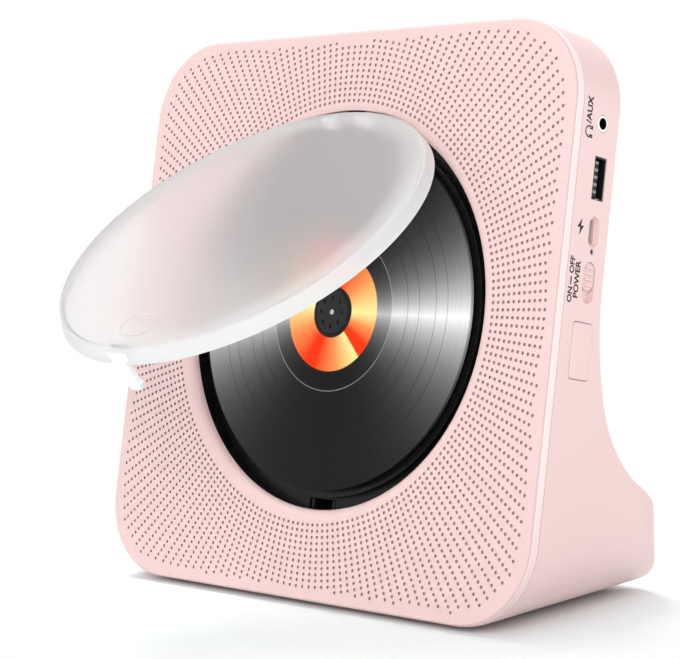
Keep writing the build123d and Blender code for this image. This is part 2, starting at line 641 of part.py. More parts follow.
# ------------------------------------------------------------------ disc well
with BuildPart() as well_tray:
    with BuildSketch(SECTION):
        with BuildLine():
            Polyline(
                (TABLE_RADIUS + TABLE_ROOM, -TRAY_FLOOR),
                (TRAY_STEP_RADIUS, -TRAY_FLOOR),
                (TRAY_STEP_RADIUS, -GROOVE_FLOOR),
                (WELL_RADIUS, -GROOVE_FLOOR),
                (WELL_RADIUS, -SEAM),
                (WELL_RADIUS + TRAY_FLANGE, -SEAM),
                (WELL_RADIUS + TRAY_FLANGE, -SEAM - TRAY_WALL),
                (WELL_RADIUS + TRAY_WALL, -SEAM - TRAY_WALL),
                (WELL_RADIUS + TRAY_WALL, -GROOVE_FLOOR - TRAY_WALL),
                (TRAY_STEP_RADIUS - TRAY_WALL, -GROOVE_FLOOR - TRAY_WALL),
                (TRAY_STEP_RADIUS - TRAY_WALL, -TRAY_FLOOR - TRAY_WALL),
                (TABLE_RADIUS + TABLE_ROOM, -TRAY_FLOOR - TRAY_WALL),
                close=True,
            )
        make_face()
    revolve(axis=DISC_AXIS)
    block(
        (-POCKET_HALF - TRAY_WALL, POCKET_HALF + TRAY_WALL),
        (HINGE_V - POCKET_BELOW - TRAY_WALL, HINGE_V + POCKET_ABOVE + TRAY_WALL),
        (SEAM, POCKET_FLOOR + TRAY_WALL),
    )
    post(0, 0, WELL_RADIUS, (0, TRAY_FLOOR), Mode.SUBTRACT)
    with BuildSketch(panel(GROOVE_FLOOR)) as groove_round_disc:
        Circle(WELL_RADIUS)
        Circle(TRAY_STEP_RADIUS, mode=Mode.SUBTRACT)
    extrude(groove_round_disc.sketch, amount=GROOVE_FLOOR - TRAY_FLOOR, mode=Mode.SUBTRACT)
    block((-POCKET_HALF, POCKET_HALF), (HINGE_V - POCKET_BELOW, HINGE_V + POCKET_ABOVE),
          (0, POCKET_FLOOR), Mode.SUBTRACT)
    for side in (-1, 1):
        ear = (side * EAR_PLACE - EAR_WIDTH / 2, side * EAR_PLACE + EAR_WIDTH / 2)
        block(
            ear, (HINGE_V - KNUCKLE_RADIUS / 2, HINGE_V + KNUCKLE_RADIUS), (HINGE_DEPTH, POCKET_FLOOR)
        )
        side_rod(HINGE_V, HINGE_DEPTH, KNUCKLE_RADIUS, ear)
    side_rod(HINGE_V, HINGE_DEPTH, PIN_RADIUS + SEATED, (-PIN_HALF, PIN_HALF), Mode.SUBTRACT)
    block(
        (-SLOT_END, 0),
        (-LENS_BARREL - 2 * GAP, LENS_BARREL + 2 * GAP),
        (TRAY_FLOOR - 1, GROOVE_FLOOR + TRAY_WALL + 1),
        Mode.SUBTRACT,
    )
    block(
        (-LATCH_HALF + LATCH_WALL, LATCH_HALF - LATCH_WALL),
        (LATCH_LOW + LATCH_WALL, LATCH_HIGH - LATCH_WALL),
        (GROOVE_FLOOR, GROOVE_FLOOR + TRAY_WALL + 1),
        Mode.SUBTRACT,
    )
save(well_tray, "well_tray")


# ------------------------------------------------------------------ rear shell
OUTER = housing_block(0, SEAM)
INNER = housing_block(WALL, SEAM - WALL)
PAD_U = SIDE_BOARD_INNER + SPEAKER_POST + GAP
MAIN_HOLES = [
    (
        side * (MAIN_BOARD_LENGTH / 2 - MAIN_POST - GAP),
        MAIN_BOARD_Y + end * (MAIN_BOARD_WIDTH / 2 - MAIN_POST - GAP),
    )
    for side in (-1, 1)
    for end in (-1, 1)
]
KEY_BOARD_HOLES = (-KEY_BOARD_HALF + LEDGE / 2, KEY_BOARD_HALF - LEDGE / 2)

with BuildPart() as posts:
    for u, v in CASE_SCREW_PLACES:
        post(u, v, CASE_POST, (CASE_POST_FRONT, PANEL_SIZE))
    for u, v in MOUNT_PLACES:
        post(u, v, GROMMET_RADIUS, (CHASSIS_BACK + GROMMET_LIP, PANEL_SIZE))
    for v in SIDE_BOARD_HOLES:
        post(PAD_U, v, SPEAKER_POST, (SIDE_BOARD_DEPTH + BOARD, PANEL_SIZE))
    for x, y in MAIN_HOLES:
        rod(FLOOR, (x, y), MAIN_POST, (0, MAIN_BOARD_RISE))
    for u in KEY_BOARD_HOLES:
        block((u - LEDGE / 2, u + LEDGE / 2), (KEY_BOARD_V - LEDGE_HEIGHT, KEY_BOARD_V),
              (TOP_KEY_DEPTH - LEDGE / 2, PANEL_SIZE))
    add(OUTER, mode=Mode.INTERSECT)

with BuildPart() as rear_shell:
    add(OUTER)
    add(INNER, mode=Mode.SUBTRACT)
    add(posts.part)
    for u, v in CASE_SCREW_PLACES:
        post(u, v, CASE_SCREW + HOLE_GAP, (0, PANEL_SIZE), Mode.SUBTRACT)
        post(u, v, CASE_HEAD + HOLE_GAP, (CASE_HEAD_DEPTH, PANEL_SIZE), Mode.SUBTRACT)
    # sockets and controls through the right-hand wall
    through = (HALF - WALL - 1, HALF + 1)
    side_rod(JACK_V, JACK_DEPTH, JACK_NOSE + SLIDE_GAP, through, Mode.SUBTRACT)
    usb = (USB_WIDTH / 2 + SLIDE_GAP, USB_HEIGHT / 2 + SLIDE_GAP)
    side_block((USB_V - usb[0], USB_V + usb[0]), (USB_DEPTH - usb[1], USB_DEPTH + usb[1]), through,
               Mode.SUBTRACT)
    pill(SIDE, (CHARGE_V, -CHARGE_DEPTH), CHARGE_RECESS_WIDTH, CHARGE_RECESS_HEIGHT,
         (HALF - CHARGE_RECESS, HALF + 1), Mode.SUBTRACT)
    pill(SIDE, (CHARGE_V, -CHARGE_DEPTH), CHARGE_WIDTH - 2 * CHARGE_SHEET,
         CHARGE_HEIGHT - 2 * CHARGE_SHEET, through, Mode.SUBTRACT)
    side_rod(LED_V, CHARGE_DEPTH, LED_RADIUS + SLIDE_GAP, through, Mode.SUBTRACT)
    pill(SIDE, (SWITCH_V, -SWITCH_DEPTH), SWITCH_SLOT, SWITCH_SLOT_WIDTH,
         (HALF - SWITCH_RECESS, HALF + 1), Mode.SUBTRACT)
    side_block((LEVER_V - KNOB_TRAVEL - LEVER - GAP, LEVER_V + LEVER + GAP),
               (SWITCH_DEPTH - LEVER - SLIDE_GAP, SWITCH_DEPTH + LEVER + SLIDE_GAP), through,
               Mode.SUBTRACT)
    with BuildSketch(SIDE.offset(through[0])) as key_hole:
        with Locations((KEY_V, -KEY_DEPTH)):
            RectangleRounded(KEY_LENGTH + 2 * SLIDE_GAP, KEY_WIDTH + 2 * SLIDE_GAP, KEY_CORNER)
    extrude(key_hole.sketch, amount=through[1] - through[0], mode=Mode.SUBTRACT)
    # keys through the top
    for u in TOP_KEY_PLACES:
        block(
            (u - TOP_KEY_LENGTH / 2 - SLIDE_GAP, u + TOP_KEY_LENGTH / 2 + SLIDE_GAP),
            (PANEL_TOP - WALL - 1, PANEL_TOP + 1),
            (TOP_KEY_DEPTH - TOP_KEY_WIDTH / 2 - SLIDE_GAP, TOP_KEY_DEPTH + TOP_KEY_WIDTH / 2 + SLIDE_GAP),
            Mode.SUBTRACT,
        )
    # battery opening and the ring's groove in the underside
    with BuildSketch(FLOOR) as opening:
        with Locations((0, 0)):
            RectangleRounded(DOOR_LENGTH - 2 * DOOR_LEDGE, DOOR_WIDTH - 2 * DOOR_LEDGE, DOOR_CORNER)
    extrude(opening.sketch, amount=WALL + 1, mode=Mode.SUBTRACT)
    with BuildSketch(FLOOR) as recess:
        RectangleRounded(DOOR_LENGTH + 2 * SLIDE_GAP, DOOR_WIDTH + 2 * SLIDE_GAP, DOOR_CORNER)
    extrude(recess.sketch, amount=WALL / 2, mode=Mode.SUBTRACT)
    with BuildSketch(FLOOR) as groove:
        RectangleRounded(RING_LENGTH + 2 * SEATED, RING_WIDTH + 2 * SEATED, RING_CORNER)
        RectangleRounded(
            RING_LENGTH - 2 * RING_SECTION - 2 * SEATED,
            RING_WIDTH - 2 * RING_SECTION - 2 * SEATED,
            RING_CORNER - RING_SECTION,
            mode=Mode.SUBTRACT,
        )
    extrude(groove.sketch, amount=RING_GROOVE, mode=Mode.SUBTRACT)
    # blind holes for the screws that hold the mechanism and the boards
    for u, v in MOUNT_PLACES:
        post(u, v, MECHANISM_SCREW_RADIUS + SEATED, (CHASSIS_BACK, INNER_BACK - 1), Mode.SUBTRACT)
    for x, y in MAIN_HOLES:
        rod(FLOOR, (x, y), SMALL_SCREW + SEATED, (MAIN_BOARD_RISE - MAIN_SCREW, MAIN_BOARD_RISE),
            Mode.SUBTRACT)
    for v in SIDE_BOARD_HOLES:
        post(PAD_U, v, SMALL_SCREW + SEATED, (SIDE_BOARD_DEPTH, INNER_BACK + SCREW_BLIND), Mode.SUBTRACT)
    for u in KEY_BOARD_HOLES:
        rod(KEY_PLANE, (u, TOP_KEY_DEPTH), SMALL_SCREW + SEATED,
            (KEY_BOARD_V - LEDGE_HEIGHT + SCREW_BLIND, KEY_BOARD_V), Mode.SUBTRACT)
save(rear_shell, "rear_shell")


# ------------------------------------------------------------------ underside
with BuildPart() as battery_cover:
    with BuildSketch(FLOOR) as plate:
        RectangleRounded(DOOR_LENGTH, DOOR_WIDTH, DOOR_CORNER)
    extrude(plate.sketch, amount=WALL / 2)
    with BuildSketch(FLOOR) as inner_plate:
        RectangleRounded(DOOR_LENGTH - 2 * DOOR_LEDGE - 2 * SLIDE_GAP,
                         DOOR_WIDTH - 2 * DOOR_LEDGE - 2 * SLIDE_GAP, DOOR_CORNER)
    extrude(inner_plate.sketch, amount=WALL)
save(battery_cover, "battery_cover")

with BuildPart() as rubber_foot:
    with BuildSketch(Plane.XY) as ring:
        RectangleRounded(RING_LENGTH, RING_WIDTH, RING_CORNER)
        RectangleRounded(
            RING_LENGTH - 2 * RING_SECTION,
            RING_WIDTH - 2 * RING_SECTION,
            RING_CORNER - RING_SECTION,
            mode=Mode.SUBTRACT,
        )
    extrude(ring.sketch, amount=RING_PROUD + RING_GROOVE)
save(rubber_foot, "rubber_foot")


# ------------------------------------------------------------------ lid
with BuildPart() as lid:
    with BuildSketch(LID_SECTION) as half:
        Polygon(
            (0, 0), (LID_FACE_RADIUS, 0), (LID_RADIUS, -LID_DEPTH), (0, -LID_DEPTH), align=None
        )
        fillet(half.vertices().sort_by_distance((LID_FACE_RADIUS, 0))[0], LID_EDGE)
    revolve(half.sketch, axis=LID_AXIS)
    with BuildSketch(LID_SECTION) as hollow:
        Polygon(
            (0, -LID_THICKNESS),
            (LID_FACE_RADIUS - LID_THICKNESS, -LID_THICKNESS),
            (LID_RADIUS - LID_THICKNESS, -LID_DEPTH),
            (0, -LID_DEPTH),
            align=None,
        )
    revolve(hollow.sketch, axis=LID_AXIS, mode=Mode.SUBTRACT)
    mark = (0, -LID_FACE_RADIUS + LID_MARK_INSET)
    pill(LID, mark, LID_MARK_LENGTH, LID_MARK_WIDTH, (-LID_THICKNESS / 2, LID_MARK_RISE))
    pill(LID, mark, LID_MARK_LENGTH - 2 * LID_MARK_LINE, LID_MARK_WIDTH - 2 * LID_MARK_LINE,
         (0, LID_MARK_RISE), Mode.SUBTRACT)
    for side in (-1, 1):
        box(
            LID,
            (side * ARM_PLACE - ARM_WIDTH / 2 - GAP, side * ARM_PLACE + ARM_WIDTH / 2 + GAP),
            (ARM_START, HINGE_V),
            (-LID_DEPTH - 1, -LID_THICKNESS),
            Mode.SUBTRACT,
        )
    prong_near = -PRONG_PLACE - PRONG_THICKNESS / 2
    prong_half = 2 * PRONG_HALF + SEATED
    box(LID, (-prong_half, prong_half), (-LID_RADIUS - 1, prong_near + 2 * PRONG_THICKNESS + SEATED),
        (-LID_DEPTH - 1, -LID_THICKNESS), Mode.SUBTRACT)
    hinge_half = EAR_PLACE + EAR_WIDTH / 2 + GAP
    side_rod(HINGE_V, HINGE_DEPTH, KNUCKLE_RADIUS + GAP, (-hinge_half, hinge_half), Mode.SUBTRACT)
save(lid, "lid")

for side_name, side in (("left", -1), ("right", 1)):
    with BuildPart() as lid_hinge_arm:
        span = (side * ARM_PLACE - ARM_WIDTH / 2, side * ARM_PLACE + ARM_WIDTH / 2)
        box(LID, span, (ARM_START, HINGE_V), (-ARM_BOTTOM, -ARM_TOP))
        box(LID, span, (ARM_START, ARM_START + ARM_ROOT), (-ARM_TOP, -LID_THICKNESS))
        side_rod(HINGE_V, HINGE_DEPTH, KNUCKLE_RADIUS, span)
        side_rod(HINGE_V, HINGE_DEPTH, PIN_RADIUS + RUNNING, (-PIN_HALF, PIN_HALF), Mode.SUBTRACT)
    save(lid_hinge_arm, f"lid_hinge_arm_{side_name}")

with BuildPart() as latch_prong:
    near = -PRONG_PLACE - PRONG_THICKNESS / 2
    with BuildSketch(Plane(origin=LID.origin + LID_UP * near, x_dir=(1, 0, 0), z_dir=-LID_UP)) as blade:
        with BuildLine():
            Polyline(
                (-PRONG_HALF, -LID_THICKNESS),
                (PRONG_HALF, -LID_THICKNESS),
                (PRONG_HALF, -PRONG_TIP + PRONG_BARB_HEIGHT),
                (PRONG_HALF + PRONG_BARB, -PRONG_TIP + PRONG_BARB_HEIGHT),
                (PRONG_HALF, -PRONG_TIP),
                (-PRONG_HALF, -PRONG_TIP),
                (-PRONG_HALF - PRONG_BARB, -PRONG_TIP + PRONG_BARB_HEIGHT),
                (-PRONG_HALF, -PRONG_TIP + PRONG_BARB_HEIGHT),
                close=True,
            )
        make_face()
    extrude(blade.sketch, amount=-PRONG_THICKNESS)
    foot = (-2 * PRONG_HALF, 2 * PRONG_HALF)
    box(LID, foot, (near, near + 2 * PRONG_THICKNESS), (-LID_DEPTH, -LID_THICKNESS))
save(latch_prong, "latch_prong")

with BuildPart() as hinge_pin:
    side_rod(HINGE_V, HINGE_DEPTH, PIN_RADIUS, (-PIN_HALF, PIN_HALF))
save(hinge_pin, "hinge_pin")

with BuildPart() as lid_spring:
    side_rod(HINGE_V, HINGE_DEPTH, SPRING_RADIUS, (-SPRING_HALF, SPRING_HALF))
    side_rod(HINGE_V, HINGE_DEPTH, SPRING_RADIUS - SPRING_WIRE, (-SPRING_HALF, SPRING_HALF), Mode.SUBTRACT)
    block(
        (-SPRING_HALF, -SPRING_HALF + SPRING_WIRE),
        (HINGE_V - SPRING_WIRE / 2, HINGE_V + SPRING_WIRE / 2),
        (HINGE_DEPTH + SPRING_RADIUS - SPRING_WIRE / 2, POCKET_FLOOR),
    )
save(lid_spring, "lid_spring")


# ------------------------------------------------------------------ latch in the well
with BuildPart() as touch_latch:
    block(
        (-LATCH_HALF, LATCH_HALF),
        (LATCH_LOW, LATCH_HIGH),
        (GROOVE_FLOOR + TRAY_WALL, LATCH_BOTTOM + LATCH_WALL),
    )
    block(
        (-LATCH_HALF + LATCH_WALL, LATCH_HALF - LATCH_WALL),
        (LATCH_LOW + LATCH_WALL, LATCH_HIGH - LATCH_WALL),
        (0, LATCH_BOTTOM),
        Mode.SUBTRACT,
    )
save(touch_latch, "touch_latch")

with BuildPart() as latch_jaws:
    jaw_span = (LATCH_LOW + LATCH_WALL + GAP, LATCH_HIGH - LATCH_WALL - GAP)
    for side in (-1, 1):
        block(
            (side * JAW_PLACE - JAW_WIDTH / 2, side * JAW_PLACE + JAW_WIDTH / 2),
            jaw_span,
            (GROOVE_FLOOR + JAW_DROP, JAW_BOTTOM),
        )
    block((-JAW_PLACE, JAW_PLACE), jaw_span, (JAW_BOTTOM - JAW_BAR / 2, JAW_BOTTOM + JAW_BAR))
save(latch_jaws, "latch_jaws")


# ------------------------------------------------------------------ disc and turntable
with BuildPart() as compact_disc:
    with BuildSketch(panel(TABLE_TOP)):
        Circle(DISC_RADIUS)
        Circle(DISC_BORE, mode=Mode.SUBTRACT)
    extrude(amount=DISC_THICKNESS)
save(compact_disc, "compact_disc")

with BuildPart() as turntable:
    post(0, 0, TABLE_RADIUS, (TABLE_TOP + PAD_THICKNESS, TABLE_BOTTOM))
    post(0, 0, HUB_RADIUS, (HUB_TOP, TABLE_BOTTOM))
    fillet(turntable.faces().sort_by(DISC_AXIS)[-1].edges(), HUB_ROUND)
    with BuildSketch(panel(HUB_TOP)) as marks:
        with PolarLocations(DISC_BORE - HUB_MARK_INSET, HUB_MARK_COUNT):
            Circle(HUB_MARK_RADIUS)
    extrude(marks.sketch, amount=-HUB_RISE, mode=Mode.SUBTRACT)
    with BuildSketch(panel(DISC_DEPTH)) as ball_seats:
        with PolarLocations(HUB_RADIUS - BALL_RADIUS, BALL_COUNT, start_angle=90):
            Circle(BALL_RADIUS + RUNNING)
    extrude(ball_seats.sketch, amount=-2 * BALL_RADIUS, mode=Mode.SUBTRACT)
    post(0, 0, SHAFT_RADIUS + SEATED, (0, TABLE_BOTTOM + 1), Mode.SUBTRACT)
save(turntable, "turntable")

with BuildPart() as retaining_balls:
    with Locations(panel(DISC_DEPTH + BALL_RADIUS)):
        with PolarLocations(HUB_RADIUS - BALL_RADIUS, BALL_COUNT, start_angle=90):
            Sphere(BALL_RADIUS)
save(retaining_balls, "retaining_balls")

with BuildPart() as turntable_pad:
    with BuildSketch(panel(TABLE_TOP + PAD_THICKNESS)):
        Circle(TABLE_RADIUS)
        Circle(PAD_INNER, mode=Mode.SUBTRACT)
    extrude(amount=PAD_THICKNESS)
save(turntable_pad, "turntable_pad")

with BuildPart() as spindle_shaft:
    post(0, 0, SHAFT_RADIUS, (HUB_TOP - SHAFT_RISE, CHASSIS_BACK + SPINDLE_MOTOR_DEPTH - MOTOR_BASE))
    fillet(spindle_shaft.faces().sort_by(DISC_AXIS)[-1].edges(), SHAFT_RADIUS / 2)
save(spindle_shaft, "spindle_shaft")


# ------------------------------------------------------------------ mechanism
with BuildPart() as mechanism_chassis:
    block((CHASSIS_LEFT, CHASSIS_RIGHT), (CHASSIS_LOW, CHASSIS_HIGH), (CHASSIS_DEPTH, CHASSIS_BACK))
    for u in (ROD_LEFT, ROD_RIGHT - LUG_THICKNESS):
        for v in ROD_PLACES:
            block((u, u + LUG_THICKNESS), (v - LUG_HALF, v + LUG_HALF), (CHASSIS_BACK, ROD_DEPTH + LUG_HALF))
            side_rod(v, ROD_DEPTH, ROD_RADIUS + SEATED, (u - 1, u + LUG_THICKNESS + 1), Mode.SUBTRACT)
    post(0, 0, MOTOR_BOSS + GAP, (CHASSIS_DEPTH - 1, CHASSIS_BACK + 1), Mode.SUBTRACT)
    block((-SLOT_END, -LENS_START + 2 * LENS_BARREL), (-2 * LENS_BARREL, 2 * LENS_BARREL),
          (CHASSIS_DEPTH - 1, CHASSIS_BACK + 1), Mode.SUBTRACT)
    for u, v in MOUNT_PLACES:
        post(u, v, GROMMET_NECK + SEATED, (CHASSIS_DEPTH - 1, CHASSIS_BACK + 1), Mode.SUBTRACT)
    gear_hole = (SLED_PINION_TEETH / 2 + 2) * RACK_MODULE
    post(GEAR_PLACE, GEAR_V, gear_hole, (CHASSIS_DEPTH - 1, CHASSIS_BACK + 1), Mode.SUBTRACT)
    post(SLED_MOTOR_U, SLED_MOTOR_V, MOTOR_PINION_RADIUS, (CHASSIS_DEPTH - 1, CHASSIS_BACK + 1),
         Mode.SUBTRACT)
    bridge = RACK_DEPTHS[1] + GAP
    column = GEAR_PLACE - gear_hole - BRIDGE - GAP
    span = (GEAR_V - BRIDGE_BELOW, GEAR_V + BRIDGE_ABOVE)
    block((column, column + BRIDGE), span, (CHASSIS_BACK, bridge + BRIDGE))
    block((column, GEAR_PLACE + BRIDGE), span, (bridge, bridge + BRIDGE))
    post(GEAR_PLACE, GEAR_V, GEAR_POST_RADIUS + SEATED, (bridge - 1, bridge + BRIDGE + 1),
         Mode.SUBTRACT)
save(mechanism_chassis, "mechanism_chassis")

with BuildPart() as damper_grommets:
    for u, v in MOUNT_PLACES:
        post(u, v, GROMMET_RADIUS, (CHASSIS_DEPTH - GROMMET_LIP, CHASSIS_DEPTH))
        post(u, v, GROMMET_NECK, (CHASSIS_DEPTH, CHASSIS_BACK))
        post(u, v, GROMMET_RADIUS, (CHASSIS_BACK, CHASSIS_BACK + GROMMET_LIP))
        post(u, v, MECHANISM_SCREW_RADIUS + SEATED, (0, PANEL_SIZE), Mode.SUBTRACT)
save(damper_grommets, "damper_grommets")

with BuildPart() as mechanism_screws:
    for u, v in MOUNT_PLACES:
        head = -CHASSIS_DEPTH + GROMMET_LIP
        screw(PANEL, (u, v), MECHANISM_SCREW_RADIUS, SMALL_HEAD, SMALL_HEAD_HEIGHT,
              (-INNER_BACK + 2, head))
save(mechanism_screws, "mechanism_screws")

with BuildPart() as spindle_motor:
    post(0, 0, SPINDLE_MOTOR_RADIUS, (CHASSIS_BACK, CHASSIS_BACK + SPINDLE_MOTOR_DEPTH))
    fillet(spindle_motor.faces().sort_by(DISC_AXIS)[0].edges(), SPINDLE_MOTOR_ROUND)
    post(0, 0, MOTOR_BOSS, (CHASSIS_DEPTH - MOTOR_BOSS_RISE, CHASSIS_BACK))
    post(0, 0, SHAFT_RADIUS + RUNNING, (0, CHASSIS_BACK + SPINDLE_MOTOR_DEPTH - MOTOR_BASE + RUNNING),
         Mode.SUBTRACT)
save(spindle_motor, "spindle_motor")

with BuildPart() as guide_rods:
    for v in ROD_PLACES:
        side_rod(v, ROD_DEPTH, ROD_RADIUS, (ROD_LEFT, ROD_RIGHT))
save(guide_rods, "guide_rods")

with BuildPart() as pickup_sled:
    rack_back = RACK_PITCH_LINE - DEDENDUM * RACK_MODULE
    block((SLED_LEFT, SLED_RIGHT), (SLED_LOW, rack_back), (SLED_TOP_DEPTH, SLED_BOTTOM_DEPTH))
    block((SLED_RIGHT, RACK_END), (rack_back - RACK_BAR, rack_back), RACK_DEPTHS)
    block((SLED_LEFT, SLED_RIGHT), (rack_back - 1, RACK_PITCH_LINE + SLED_SHELF_REACH),
          (SLED_BOTTOM_DEPTH - SLED_SHELF, SLED_BOTTOM_DEPTH))
    for v in ROD_PLACES:
        side_rod(v, ROD_DEPTH, ROD_RADIUS + RUNNING, (SLED_LEFT - 1, SLED_RIGHT + 1), Mode.SUBTRACT)
    post(-LENS_START, 0, LENS_BARREL, (LENS_DEPTH + LENS_RIM, SLED_TOP_DEPTH))
    post(-LENS_START, 0, LENS_RADIUS, (LENS_DEPTH, LENS_DEPTH + LENS_SINK + LENS_THICKNESS),
         Mode.SUBTRACT)
    rack_pitch = pi * RACK_MODULE
    slant = tan(radians(PRESSURE_ANGLE))
    half_tooth = rack_pitch / 4 - BACKLASH / 4
    low = DEDENDUM * RACK_MODULE
    high = SMALL_ADDENDUM * RACK_MODULE
    first = GEAR_PLACE - rack_pitch / 2
    count = int((RACK_END - first) / rack_pitch)
    with BuildSketch(panel(RACK_DEPTHS[1])) as teeth:
        with Locations(*[(first + n * rack_pitch, RACK_PITCH_LINE) for n in range(count)]):
            Polygon(
                (-half_tooth - low * slant, -low - RUNNING),
                (half_tooth + low * slant, -low - RUNNING),
                (half_tooth - high * slant, high),
                (-half_tooth + high * slant, high),
                align=None,
            )
    extrude(teeth.sketch, amount=RACK_DEPTHS[1] - RACK_DEPTHS[0])
save(pickup_sled, "pickup_sled")

with BuildPart() as pickup_lens:
    post(-LENS_START, 0, LENS_RADIUS - SEATED,
         (LENS_DEPTH + LENS_SINK, LENS_DEPTH + LENS_SINK + LENS_THICKNESS))
    fillet(pickup_lens.faces().sort_by(DISC_AXIS)[-1].edges(), LENS_ROUND)
save(pickup_lens, "pickup_lens")

with BuildPart() as sled_gear:
    place = (GEAR_PLACE, GEAR_V)
    gear(place, WHEEL_MODULE, WHEEL_TEETH, SMALL_ADDENDUM, GEAR_POST_RADIUS + RUNNING, GEAR_ANGLE,
         WHEEL_DEPTHS)
    with BuildSketch(panel(RACK_DEPTHS[0])) as collar:
        with Locations(place):
            Circle(COLLAR_RADIUS)
            Circle(GEAR_POST_RADIUS + RUNNING, mode=Mode.SUBTRACT)
    extrude(collar.sketch, amount=RACK_DEPTHS[0] - WHEEL_DEPTHS[1])
    gear(place, RACK_MODULE, SLED_PINION_TEETH, FULL_ADDENDUM, GEAR_POST_RADIUS + RUNNING, -90,
         RACK_DEPTHS)
save(sled_gear, "sled_gear")

with BuildPart() as sled_gear_post:
    post(GEAR_PLACE, GEAR_V, GEAR_POST_RADIUS, (WHEEL_DEPTHS[0] - GEAR_POST_RISE, RACK_DEPTHS[1] + GAP + BRIDGE))
save(sled_gear_post, "sled_gear_post")

with BuildPart() as sled_motor:
    post(SLED_MOTOR_U, SLED_MOTOR_V, SLED_MOTOR_RADIUS, (CHASSIS_BACK, CHASSIS_BACK + SLED_MOTOR_DEPTH))
    post(SLED_MOTOR_U, SLED_MOTOR_V, SLED_MOTOR_SHAFT, (WHEEL_DEPTHS[0] - GAP, CHASSIS_BACK))
save(sled_motor, "sled_motor")

with BuildPart() as motor_pinion:
    gear((SLED_MOTOR_U, SLED_MOTOR_V), WHEEL_MODULE, MOTOR_TEETH, FULL_ADDENDUM,
         SLED_MOTOR_SHAFT + SEATED, GEAR_ANGLE + 180 + 180 / MOTOR_TEETH, WHEEL_DEPTHS)
save(motor_pinion, "motor_pinion")


# ------------------------------------------------------------------ speakers
def speaker(side, place):
    """One full-range driver: flanged basket, paper cone and magnet."""
    u, v = place
    back = SPEAKER_SEAT + SPEAKER_FLANGE_THICKNESS
    rear = SPEAKER_SEAT + SPEAKER_DEPTH
    turned = Plane(origin=CENTRE + Vector(u, 0, 0) + UP * v, x_dir=Vector(1, 0, 0) + UP, z_dir=OUT)
    with BuildPart() as basket:
        with BuildSketch(turned.offset(-back)) as flange:
            RectangleRounded(SPEAKER_FLANGE, SPEAKER_FLANGE, SPEAKER_FLANGE_CORNER)
        extrude(flange.sketch, amount=SPEAKER_FLANGE_THICKNESS)
        with BuildSketch(turned.offset(-back)) as mouth:
            Circle(SPEAKER_CONE)
        with BuildSketch(turned.offset(-rear)) as neck:
            Circle(MAGNET_RADIUS)
        loft([mouth.sketch.face(), neck.sketch.face()])
        with BuildSketch(turned.offset(-SPEAKER_SEAT)) as inner_mouth:
            Circle(SPEAKER_CONE - BASKET_SHEET)
        with BuildSketch(turned.offset(-rear + BASKET_SHEET)) as inner_neck:
            Circle(MAGNET_RADIUS - BASKET_SHEET)
        loft([inner_mouth.sketch.face(), inner_neck.sketch.face()], mode=Mode.SUBTRACT)
        for turn in (0, 90, 180, 270):
            hole = (u + SPEAKER_HOLE_CIRCLE * cos(radians(turn)),
                    v + SPEAKER_HOLE_CIRCLE * sin(radians(turn)))
            post(*hole, SMALL_SCREW + HOLE_GAP, (0, back + 1), Mode.SUBTRACT)
    save(basket, f"speaker_{side}_basket")

    with BuildPart() as cone:
        front = back
        low = rear - CONE_RISE
        with BuildSketch(turned.offset(-front)) as wide:
            Circle(SPEAKER_CONE - CONE_INSET)
        with BuildSketch(turned.offset(-low)) as narrow:
            Circle(SPEAKER_NECK)
        loft([wide.sketch.face(), narrow.sketch.face()])
        with BuildSketch(turned.offset(-front)) as wide_inside:
            Circle(SPEAKER_CONE - CONE_INSET - SPEAKER_PAPER)
        with BuildSketch(turned.offset(-low + SPEAKER_PAPER)) as narrow_inside:
            Circle(SPEAKER_NECK - SPEAKER_PAPER)
        loft([wide_inside.sketch.face(), narrow_inside.sketch.face()], mode=Mode.SUBTRACT)
    save(cone, f"speaker_{side}_cone")

    with BuildPart() as magnet:
        post(u, v, MAGNET_RADIUS, (rear, rear + MAGNET_THICKNESS))
        fillet(magnet.faces().sort_by(DISC_AXIS)[0].edges(), MAGNET_ROUND)
    save(magnet, f"speaker_{side}_magnet")


for side_name, side_place in SPEAKERS.items():
    speaker(side_name, side_place)

with BuildPart() as speaker_screws:
    for u, v in SPEAKER_HOLES:
        screw(PANEL, (u, v), SMALL_SCREW, SMALL_HEAD, SMALL_HEAD_HEIGHT,
              (-SKIN - SCREW_BLIND, -SPEAKER_SEAT - SPEAKER_FLANGE_THICKNESS))
save(speaker_screws, "speaker_screws")

with BuildPart() as case_screws:
    for u, v in CASE_SCREW_PLACES:
        screw(PANEL, (u, v), CASE_SCREW, CASE_HEAD, CASE_HEAD_HEIGHT,
              (-SKIN - SCREW_BLIND, -CASE_HEAD_DEPTH))
save(case_screws, "case_screws")


# ------------------------------------------------------------------ battery and main board
CELL_Z = CELL_RISE + CELL_RADIUS

with BuildPart() as battery_cells:
    for row in (-1, 1):
        rod(Plane(origin=(0, 0, UNDERSIDE), x_dir=(0, 1, 0), z_dir=(1, 0, 0)),
            (row * (CELL_RADIUS + GAP), CELL_Z), CELL_RADIUS, (-CELL_LENGTH / 2, CELL_LENGTH / 2))
save(battery_cells, "battery_cells")

